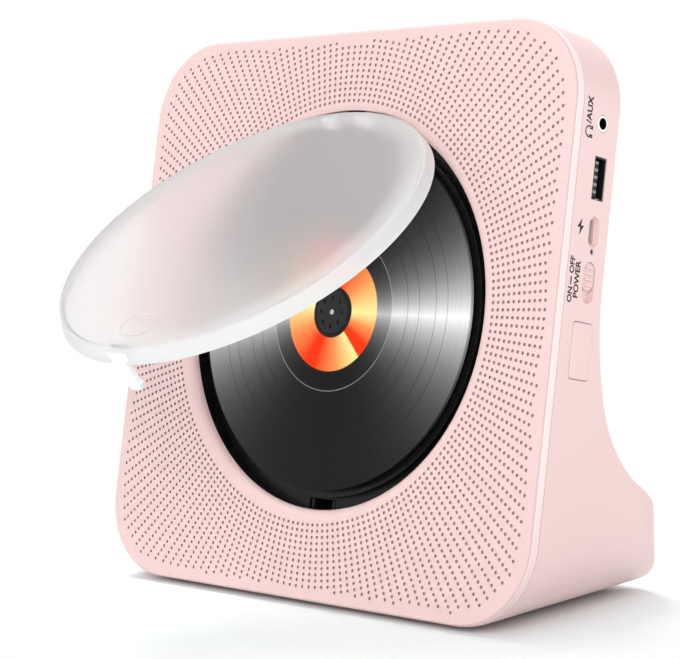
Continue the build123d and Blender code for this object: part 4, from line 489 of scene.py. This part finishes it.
def sheen():
    """Painted light of the grooves: a painted highlight which falls off evenly on both sides of each fan."""
    total = 0.0
    for middle, strength in PAINTED_HIGHLIGHT_FANS:
        away = calculate(disc_tree, "ABSOLUTE", turn_from(middle))
        fall = calculate(disc_tree, "EXPONENT", calculate(disc_tree, "DIVIDE", away, -FAN_WIDTH))
        total = calculate(disc_tree, "MULTIPLY_ADD", fall, strength, total)
    return total


def label_print_and_painted_highlight():
    """1 in the middle of a pale fan on the label, partly print and partly painted highlight, falling to 0 at its
    two edges.
    """
    most = 0.0
    for middle, before, after in LABEL_PRINT_AND_PAINTED_HIGHLIGHT_FANS:
        away = turn_from(middle)
        spread = calculate(
            disc_tree, "MAXIMUM", calculate(disc_tree, "DIVIDE", away, after),
            calculate(disc_tree, "DIVIDE", away, -before),
        )
        most = calculate(disc_tree, "MAXIMUM", calculate(disc_tree, "SUBTRACT", 1.0, spread), most)
    return most


def paint_over(below, mask, strength, above):
    """The disc's colour with another laid over it through a mask."""
    return blend_colour(disc_tree, calculate(disc_tree, "MULTIPLY", mask, strength), below, above)


# The dark grooves with the painted highlight fans laid over them.
fans = blend_colour(disc_tree, sheen(), srgb(20, 20, 20), srgb(255, 255, 255))
label = ramp(
    disc_tree, label_print_and_painted_highlight(),
    [(0.0, srgb(253, 56, 4)), (0.5, srgb(253, 154, 84)), (1.0, srgb(254, 245, 162))],
)
track = node(
    disc_tree, "ShaderNodeTexNoise",
    {"Vector": flat_vector(disc_tree, spot["Radius"], 0.0), "Scale": 1.7, "Detail": 6.0},
).outputs["Fac"]
tracks = map_range(disc_tree, track, 0.3, 0.7, 0.86, 1.06)
face = node(disc_tree, "ShaderNodeHueSaturation", {"Color": fans, "Value": tracks}).outputs[0]
wax = ring_mask(disc_tree, spot["Radius"], LABEL_RADIUS, DEAD_WAX)
face = paint_over(face, wax, 0.35, srgb(14, 14, 14))
for gap in TRACK_GAPS:
    line = ring_mask(disc_tree, spot["Radius"], gap - TRACK_GAP, gap + TRACK_GAP, 0.1)
    face = paint_over(face, line, 0.5, srgb(12, 12, 12))
bright_line = ring_mask(disc_tree, spot["Radius"], DEAD_WAX, DEAD_WAX + BRIGHT_LINE, 0.1)
face = paint_over(face, bright_line, 0.3, srgb(220, 220, 220))
on_label = ring_mask(disc_tree, spot["Radius"], BORE_RING, LABEL_RADIUS)
face = blend_colour(disc_tree, on_label, face, label)
bore = ring_mask(disc_tree, spot["Radius"], 0.0, BORE_RING)
face = blend_colour(disc_tree, bore, face, srgb(36, 34, 34))
disc_tree.links.new(face, disc_shader.inputs["Base Color"])
disc_tree.links.new(
    map_range(disc_tree, on_label, 0.0, 1.0, 0.42, 0.55), disc_shader.inputs["Roughness"]
)
waves = calculate(disc_tree, "MULTIPLY", spot["Radius"], 2 * math.pi / GROOVE_PITCH)
groove = calculate(disc_tree, "SINE", waves)
grooved = ring_mask(disc_tree, spot["Radius"], DEAD_WAX, LAST_RING)
groove_relief = node(
    disc_tree, "ShaderNodeBump",
    {"Height": calculate(disc_tree, "MULTIPLY", groove, grooved), "Distance": GROOVE_DEPTH,
     "Strength": 0.5},
)
disc_tree.links.new(groove_relief.outputs["Normal"], disc_shader.inputs["Normal"])
disc_shader.inputs["Specular IOR Level"].default_value = 0.1
print("disc finish:", len(PAINTED_HIGHLIGHT_FANS), "fans on the grooves,", len(LABEL_PRINT_AND_PAINTED_HIGHLIGHT_FANS), "on the label")

# %% [markdown]
# ## The frosted lid
# The lid is moulded in clear plastic with a frosted surface. It lets light through but scatters it,
# so the disc shows as a soft grey patch and the white room as white. Rough transmission gives that
# from any side, without painting what lies behind. The lid's rim and skirt are denser and read as
# white, so the finish changes with the distance from the lid's own axis, which lies in its plane of
# symmetry and is found from the hinge. A soft ring near the free edge marks where the thumb presses.

# %% Frosted plastic
LID_OPEN = math.radians(-joints["lid_hinge"]["range_deg"][0])
LID_SINK = 0.7
SKIRT = (63.6, 64.3)
RIM = (54.0, 63.0)
THUMB_MARK = {"up": -52.1, "straight": 3.1, "inner": 3.9, "outer": 4.9, "soft": 0.9}
CLEAR = 0.88
DENSER = {"rim": 0.25, "skirt": 0.4, "thumb": 0.2}
hinge = Vector(joints["lid_hinge"]["pos_m"])
lid_up = UP * math.cos(LID_OPEN) - OUT * math.sin(LID_OPEN)
lid_out = UP * math.sin(LID_OPEN) + OUT * math.cos(LID_OPEN)
hinge_v, hinge_depth = (hinge - CENTRE).dot(UP), (CENTRE - hinge).dot(OUT)
lid_centre = hinge - lid_up * hinge_v + lid_out * (hinge_depth - LID_SINK * MM)

frosted, frosted_tree, frosted_shader = new_material("frosted plastic")
here = node(frosted_tree, "ShaderNodeTexCoord").outputs["Object"]
offset = vector(frosted_tree, "SUBTRACT", here, tuple(lid_centre))
across = vector(frosted_tree, "DOT_PRODUCT", offset, tuple(RIGHT / MM))
up_lid = vector(frosted_tree, "DOT_PRODUCT", offset, tuple(lid_up / MM))
lid_radius = vector(frosted_tree, "LENGTH", flat_vector(frosted_tree, across, up_lid))
skirt = map_range(frosted_tree, lid_radius, *SKIRT)
rim = map_range(frosted_tree, lid_radius, *RIM)
beyond = calculate(
    frosted_tree, "SUBTRACT", calculate(frosted_tree, "ABSOLUTE", across), THUMB_MARK["straight"]
)
from_thumb = flat_vector(
    frosted_tree, calculate(frosted_tree, "MAXIMUM", beyond, 0.0),
    calculate(frosted_tree, "SUBTRACT", up_lid, THUMB_MARK["up"]),
)
thumb = ring_mask(
    frosted_tree, vector(frosted_tree, "LENGTH", from_thumb),
    THUMB_MARK["inner"], THUMB_MARK["outer"], THUMB_MARK["soft"],
)
frost = moulded_body(
    frosted_tree, srgb(245, 241, 241), drift=0.02, gloss=0.35, gloss_change=0.05, grain=3200.0
)
frosted_tree.links.new(
    blend_colour(frosted_tree, rim, frost["Colour"], srgb(234, 233, 233)),
    frosted_shader.inputs["Base Color"],
)
frosted_tree.links.new(frost["Roughness"], frosted_shader.inputs["Roughness"])
dense = calculate(frosted_tree, "MULTIPLY", rim, DENSER["rim"])
dense = calculate(frosted_tree, "MULTIPLY_ADD", skirt, DENSER["skirt"], dense)
dense = calculate(frosted_tree, "MULTIPLY_ADD", thumb, DENSER["thumb"], dense)
frosted_tree.links.new(
    calculate(frosted_tree, "SUBTRACT", CLEAR, dense), frosted_shader.inputs["Transmission Weight"]
)
frosted_shader.inputs["IOR"].default_value = 1.2
print("frosted lid ready, open", round(math.degrees(LID_OPEN), 1), "degrees")

# %% [markdown]
# ## Finishes for the solid pieces
# Each solid piece keeps its shape and gets its finish here, by name. Gathering them in one table
# makes it easy to see that no piece was forgotten, and the loop stops if one was.

# %% Finish table
FINISHES = {
    pink_front: ("front_grille",),
    pink_shell: (
        "rear_shell", "battery_cover", "power_knob", "side_key", "key_previous", "key_play", "key_next",
        "key_volume_down", "key_volume_up",
    ),
    black_plastic: (
        "well_tray", "touch_latch", "power_switch", "side_key_switch", "key_switches", "battery_tray",
        "pickup_sled", "main_board_chips", "latch_jaws",
    ),
    frosted: ("lid",),
    white_plastic: (
        "lid_hinge_arm_left", "lid_hinge_arm_right", "latch_prong", "sled_gear", "motor_pinion",
    ),
    sleeve: ("headphone_jack",),
    socket_finish: ("usb_socket",),
    lamp_plastic: ("power_led",),
    pale_socket: ("charge_socket",),
    disc_face: ("compact_disc",),
    hub_plastic: ("turntable",),
    rubber: ("rubber_foot", "turntable_pad", "damper_grommets"),
    polished_steel: (
        "hinge_pin", "lid_spring", "retaining_balls", "spindle_shaft", "mechanism_screws", "guide_rods",
        "sled_gear_post", "speaker_screws", "case_screws", "board_screws", "main_board_capacitors",
    ),
    sheet_steel: (
        "mechanism_chassis", "spindle_motor", "sled_motor",
        "speaker_left_basket", "speaker_right_basket", "speaker_left_magnet", "speaker_right_magnet",
    ),
    lens_glass: ("pickup_lens",),
    paper: ("speaker_left_cone", "speaker_right_cone"),
    cell_wrap: ("battery_cells",),
    board_mask: ("main_board", "side_board", "key_board"),
}


def dress(piece, material):
    """Give a piece one material."""
    piece.data.materials.clear()
    piece.data.materials.append(material)


for material, names in FINISHES.items():
    for name in names:
        dress(nodes[name], material)
dressed = {name for names in FINISHES.values() for name in names}
assert dressed == set(nodes), dressed ^ set(nodes)
print(len(dressed), "solid pieces dressed")

# %% [markdown]
# ## The perforated front
# The sound holes lie on circles round the disc, 200 to a circle, out to a rounded square. Drawing
# thousands of holes by hand is hopeless, but one rule gives them all, so a geometry tree counts
# points off along the circles, drops those outside the field, puts a small cutter on each and takes
# the cutters out of the panel. The cutters don't go right through: the holes are shallow cups, as
# the panel's solid back is what carries the parts behind it. Their inner faces are painted a darker
# pink, painted shade that stands in for the shade of a deeper hole.

# %% Sound hole tree
HOLE_FIELD = {
    "Rays": 200,
    "Circles": 25,
    "First radius": 71.587,
    "Circle step": 2.043,
    "First turn": 0.07,
    "Field half": 92.2,
    "Field corner": 27.0,
    "Field drop": 0.5,
    "Hole radius": 0.57,
    "Hole depth": 0.6,
}
HOLE_SIDES = 10
SHARP_ANGLE = 35


def named_tree(name, sizes, materials):
    """Geometry tree with a geometry input and output and named inputs."""
    tree = bpy.data.node_groups.new(name, "GeometryNodeTree")
    tree.interface.new_socket(name="Geometry", in_out="INPUT", socket_type="NodeSocketGeometry")
    for title, value in sizes.items():
        kind = "NodeSocketInt" if isinstance(value, int) else "NodeSocketFloat"
        tree.interface.new_socket(name=title, in_out="INPUT", socket_type=kind).default_value = value
    for title in materials:
        tree.interface.new_socket(name=title, in_out="INPUT", socket_type="NodeSocketMaterial")
    tree.interface.new_socket(name="Geometry", in_out="OUTPUT", socket_type="NodeSocketGeometry")
    source = tree.nodes.new("NodeGroupInput")
    result = tree.nodes.new("NodeGroupOutput")
    return tree, source.outputs, result


def link_geometry(tree, kind, geometry, inputs=None, **settings):
    """Geometry node fed with a geometry; gives back the geometry that it makes."""
    made = node(tree, kind, inputs, **settings)
    first = next(socket for socket in made.inputs if socket.type == "GEOMETRY")
    tree.links.new(geometry, first)
    return made.outputs[0]


holes, hole_in, hole_out = named_tree("Sound holes", HOLE_FIELD, ("Panel finish", "Hole painted shade"))
total = calculate(holes, "MULTIPLY", hole_in["Rays"], hole_in["Circles"])
index = node(holes, "GeometryNodeInputIndex").outputs[0]
circle = calculate(holes, "FLOOR", calculate(holes, "DIVIDE", index, hole_in["Rays"]))
ray = calculate(holes, "SUBTRACT", index, calculate(holes, "MULTIPLY", circle, hole_in["Rays"]))
radius = calculate(
    holes, "ADD", hole_in["First radius"], calculate(holes, "MULTIPLY", circle, hole_in["Circle step"])
)
step = calculate(holes, "DIVIDE", 2 * math.pi, hole_in["Rays"])
angle = calculate(
    holes, "ADD", calculate(holes, "MULTIPLY", ray, step),
    calculate(holes, "RADIANS", hole_in["First turn"]),
)
right = calculate(holes, "MULTIPLY", radius, calculate(holes, "COSINE", angle))
up = calculate(holes, "MULTIPLY", radius, calculate(holes, "SINE", angle))
points = node(
    holes, "GeometryNodePoints", {"Count": total, "Position": flat_vector(holes, right, up)}
).outputs[0]

side = calculate(holes, "SUBTRACT", hole_in["Field half"], hole_in["Field corner"])
past = [
    calculate(holes, "MAXIMUM", calculate(holes, "SUBTRACT", calculate(holes, "ABSOLUTE", way), side), 0.0)
    for way in (right, calculate(holes, "ADD", up, hole_in["Field drop"]))
]
past_side = vector(holes, "LENGTH", flat_vector(holes, *past))
outside = calculate(holes, "GREATER_THAN", past_side, hole_in["Field corner"])
kept = link_geometry(holes, "GeometryNodeDeleteGeometry", points, {"Selection": outside})
cutter = node(
    holes, "GeometryNodeMeshCylinder",
    {"Vertices": HOLE_SIDES, "Radius": hole_in["Hole radius"],
     "Depth": calculate(holes, "MULTIPLY", hole_in["Hole depth"], 2.0)},
).outputs["Mesh"]
marked = link_geometry(
    holes, "GeometryNodeStoreNamedAttribute", cutter, {"Name": "hole", "Value": 1.0},
    data_type="FLOAT", domain="FACE",
)
cutters = node(holes, "GeometryNodeInstanceOnPoints", {"Points": kept, "Instance": marked}).outputs[0]
spread = link_geometry(holes, "GeometryNodeRealizeInstances", cutters)
moved = link_geometry(
    holes, "GeometryNodeTransform", spread,
    {"Translation": tuple(CENTRE), "Rotation": (math.pi / 2 - LEAN, 0.0, 0.0), "Scale": (MM, MM, MM)},
)
cut = node(
    holes, "GeometryNodeMeshBoolean", {"Mesh 1": hole_in["Geometry"]},
    operation="DIFFERENCE", solver="MANIFOLD",
)
holes.links.new(moved, cut.inputs["Mesh 2"])
whole = link_geometry(holes, "GeometryNodeRealizeInstances", cut.outputs[0])
panelled = link_geometry(holes, "GeometryNodeSetMaterial", whole, {"Material": hole_in["Panel finish"]})
# The cutters' faces, now inside the holes, get the painted shade.
in_hole = node(holes, "GeometryNodeInputNamedAttribute", {"Name": "hole"}, data_type="FLOAT")
inside = calculate(holes, "GREATER_THAN", in_hole.outputs["Attribute"], 0.5)
shaded = link_geometry(
    holes, "GeometryNodeSetMaterial", panelled,
    {"Selection": inside, "Material": hole_in["Hole painted shade"]},
)
holes.links.new(shaded, hole_out.inputs["Geometry"])
print("tree:", holes.name, "with", len(holes.nodes), "nodes")

# %% [markdown]
# The tree runs once on a merged copy of the solid panel. Its result becomes a plain mesh, so that
# nothing is left to calculate later.


# %% Cut the panel
def merged_copy(name, node_name, distance=0.000002):
    """New object from a solid piece's mesh, with its loose triangles joined."""
    mesh = nodes[node_name].data.copy()
    mesh.name = name
    work = bmesh.new()
    work.from_mesh(mesh)
    bmesh.ops.remove_doubles(work, verts=work.verts, dist=distance)
    bmesh.ops.dissolve_degenerate(work, edges=work.edges, dist=distance)
    work.to_mesh(mesh)
    work.free()
    piece = bpy.data.objects.new(name, mesh)
    bpy.context.scene.collection.objects.link(piece)
    return piece


def keep_result(piece, modifier):
    """Turn a modifier's result into the piece's plain mesh."""
    graph = bpy.context.evaluated_depsgraph_get()
    mesh = bpy.data.meshes.new_from_object(piece.evaluated_get(graph))
    piece.modifiers.remove(modifier)
    piece.data = mesh


def run_tree(piece, tree, values):
    """Run a geometry tree on a piece and keep the plain mesh that it makes."""
    modifier = piece.modifiers.new(tree.name, "NODES")
    modifier.node_group = tree
    identifiers = {
        item.name: item.identifier for item in tree.interface.items_tree
        if item.item_type == "SOCKET" and item.in_out == "INPUT"
    }
    for title, value in values.items():
        modifier[identifiers[title]] = value
    keep_result(piece, modifier)


perforated_front = merged_copy("perforated_front", "front_grille")
run_tree(perforated_front, holes, {**HOLE_FIELD, "Panel finish": pink_front, "Hole painted shade": hole_shade})
perforated_front.data.shade_smooth()
perforated_front.data.set_sharp_from_angle(angle=math.radians(SHARP_ANGLE))
weighted = perforated_front.modifiers.new("flat faces stay flat", "WEIGHTED_NORMAL")
weighted.keep_sharp = True
keep_result(perforated_front, weighted)
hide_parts("front_grille")
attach(perforated_front, "housing")
print("perforated front:", len(perforated_front.data.polygons), "faces")

# %% [markdown]
# ## Printed marks
# Small dark marks beside the sockets and the switch say what each one is for. They are plain signs:
# headphones, a bolt for the supply, and words for the switch. Each is a filled flat curve turned into
# a thin mesh on the wall. Words and signs share one function, which lays them so that they read
# upwards, with their tops towards the front.

# %% Marks on the right-hand wall
JACK_HALF = 7.0
WALL_RIGHT = (Vector(mounts["headphone_jack"]["pos_m"]) - CENTRE).dot(RIGHT) / MM + JACK_HALF
MARK_THICKNESS = 0.06
JOIN_DISTANCE = 0.000002
BOLDNESS = 0.03
MARK_TURN = Matrix((UP, OUT, RIGHT)).transposed().to_4x4()


def wall_curve(kind):
    """Flat curve filled on both sides and slightly thick."""
    curve = bpy.data.curves.new("mark", kind)
    curve.extrude = MARK_THICKNESS / 2
    if kind == "CURVE":
        curve.dimensions = "2D"
        curve.fill_mode = "BOTH"
    return curve


def lay_on_wall(name, curves):
    """Join curves, given with their places up the wall and behind the panel, into one printed piece."""
    join = bmesh.new()
    for curve, up, depth in curves:
        flat = bpy.data.objects.new("flat mark", curve)
        bpy.context.scene.collection.objects.link(flat)
        mesh = bpy.data.meshes.new_from_object(flat.evaluated_get(bpy.context.evaluated_depsgraph_get()))
        mesh.transform(
            Matrix.Translation(place(WALL_RIGHT, up, depth)) @ MARK_TURN @ Matrix.Scale(MM, 4)
        )
        join.from_mesh(mesh)
        bpy.data.objects.remove(flat)
    bmesh.ops.remove_doubles(join, verts=join.verts, dist=JOIN_DISTANCE)
    bmesh.ops.recalc_face_normals(join, faces=join.faces)
    mesh = bpy.data.meshes.new(name)
    join.to_mesh(mesh)
    join.free()
    mesh.materials.append(ink)
    piece = bpy.data.objects.new(name, mesh)
    bpy.context.scene.collection.objects.link(piece)
    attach(piece, "housing")
    return piece


def word(letters, size):
    """A word in the plain built-in typeface, slightly bold, centred on its place."""
    curve = wall_curve("FONT")
    curve.body = letters
    curve.size = size
    curve.offset = BOLDNESS * size
    curve.align_x = "CENTER"
    curve.align_y = "CENTER"
    return curve


def outline(*loops):
    """Filled shape with straight sides; each loop is a list of places in millimetres."""
    curve = wall_curve("CURVE")
    for loop in loops:
        spline = curve.splines.new("POLY")
        spline.points.add(len(loop) - 1)
        for point, (x, y) in zip(spline.points, loop):
            point.co = (x, y, 0.0, 1.0)
        spline.use_cyclic_u = True
    return curve


def arc(radius, first, last, steps=18):
    """Places along an arc between two angles in degrees."""
    turns = [math.radians(first + (last - first) * n / steps) for n in range(steps + 1)]
    return [(radius * math.cos(turn), radius * math.sin(turn)) for turn in turns]


def headphones(radius, line):
    """A headband with two cushions, open to the back."""
    band = arc(radius, -35, 215) + arc(radius - line, 215, -35)
    cups = [
        [(side * x, y) for x, y in ((0.8, -0.3), (1.9, -0.3), (1.9, -1.9), (0.8, -1.9))] for side in (-1, 1)
    ]
    return outline(band, *cups)


BOLT = [(2.7, -0.5), (-0.3, 1.7), (-0.1, 0.2), (-2.7, 0.5), (0.5, -1.7), (0.3, -0.2)]
DASH = [(-1.3, -0.3), (1.3, -0.3), (1.3, 0.3), (-1.3, 0.3)]

lay_on_wall("headphone_mark", [(headphones(1.9, 0.5), 59.6, 7.6)])
lay_on_wall("line_in_mark", [(word("/AUX", 3.5), 66.2, 7.2)])
lay_on_wall("supply_mark", [(outline(BOLT), 30.0, 8.3)])
lay_on_wall(
    "switch_marks",
    [(word("ON", 3.1), 8.7, 6.3), (outline(DASH), 13.0, 6.2), (word("OFF", 3.1), 17.9, 6.2),
     (word("POWER", 3.3), 13.6, 9.2)],
)
print("marks laid on the wall")

# %% [markdown]
# ## Floor and light
# A plain pale floor carries the shadow. What the camera and the reflections see beyond it is white,
# through the Light Path node, while the light that falls on the player stays at a plain level. Four
# large soft lamps model the forms: one from the front right, a weaker one from the left, a faint one
# at the back right, whose sheen shows on the side, and one high at the back left, which lays a soft
# shadow to the right.

# %% Floor
FLOOR_SIZE = 6.0
PLAIN_FROM = (0.09, 0.14)
floor_mesh = bpy.data.meshes.new("floor")
half = FLOOR_SIZE / 2
corners = [(-half, -half, 0), (half, -half, 0), (half, half, 0), (-half, half, 0)]
floor_mesh.from_pydata(corners, [], [(0, 1, 2, 3)])
floor = bpy.data.objects.new("floor", floor_mesh)
bpy.context.scene.collection.objects.link(floor)
floor_paint = bpy.data.materials.new("floor paint")
floor_paint.use_nodes = True
floor_tree = floor_paint.node_tree
floor_tree.nodes.clear()


def seen_rays(tree):
    """1 for the rays that show a thing: straight to the camera, mirrored, or through clear plastic."""
    path = node(tree, "ShaderNodeLightPath").outputs
    passed = calculate(tree, "MAXIMUM", path["Is Glossy Ray"], path["Is Transmission Ray"])
    return calculate(tree, "MAXIMUM", path["Is Camera Ray"], passed)


paint = node(floor_tree, "ShaderNodeBsdfDiffuse", {"Color": (0.87, 0.93, 0.93, 1.0)}).outputs[0]
glow = node(floor_tree, "ShaderNodeEmission", {"Color": (1.0, 1.0, 1.0, 1.0), "Strength": 1.0}).outputs[0]
here = node(floor_tree, "ShaderNodeTexCoord").outputs["Object"]
far = map_range(floor_tree, vector(floor_tree, "LENGTH", here), *PLAIN_FROM)
plain = calculate(floor_tree, "MULTIPLY", seen_rays(floor_tree), far)
either = node(floor_tree, "ShaderNodeMixShader", {0: plain, 1: paint, 2: glow}).outputs[0]
node(floor_tree, "ShaderNodeOutputMaterial", {"Surface": either})
floor.data.materials.append(floor_paint)

# %% World and lamps
WORLD_LIGHT = 0.66
world = bpy.data.worlds.new("studio")
bpy.context.scene.world = world
world.use_nodes = True
world_tree = world.node_tree
world_tree.nodes.clear()
level = calculate(world_tree, "MULTIPLY_ADD", seen_rays(world_tree), 1.0 - WORLD_LIGHT, WORLD_LIGHT)
sky = node(world_tree, "ShaderNodeBackground", {"Color": (1.0, 1.0, 1.0, 1.0), "Strength": level})
node(world_tree, "ShaderNodeOutputWorld", {"Surface": sky.outputs[0]})


def soft_lamp(name, at, aim, size, power):
    """Square soft lamp aimed at a point."""
    lamp = bpy.data.objects.new(name, bpy.data.lights.new(name, "AREA"))
    bpy.context.scene.collection.objects.link(lamp)
    lamp.data.size = size
    lamp.data.energy = power
    lamp.location = at
    lamp.rotation_euler = (Vector(aim) - Vector(at)).to_track_quat("-Z", "Y").to_euler()
    return lamp


AIM = (0.0, 0.0, 0.1)
soft_lamp("front right lamp", (0.65, -0.95, 0.65), AIM, 0.6, 6.4)
soft_lamp("left lamp", (-1.3, -0.7, 0.8), AIM, 0.9, 0.6)
soft_lamp("back right lamp", (1.1, 1.0, 0.3), AIM, 0.6, 1.6)
soft_lamp("shadow lamp", (-0.7, 0.25, 1.7), AIM, 0.7, 20.0)
scene = bpy.context.scene
scene.view_settings.view_transform = "Standard"
print("floor, world and lamps ready")
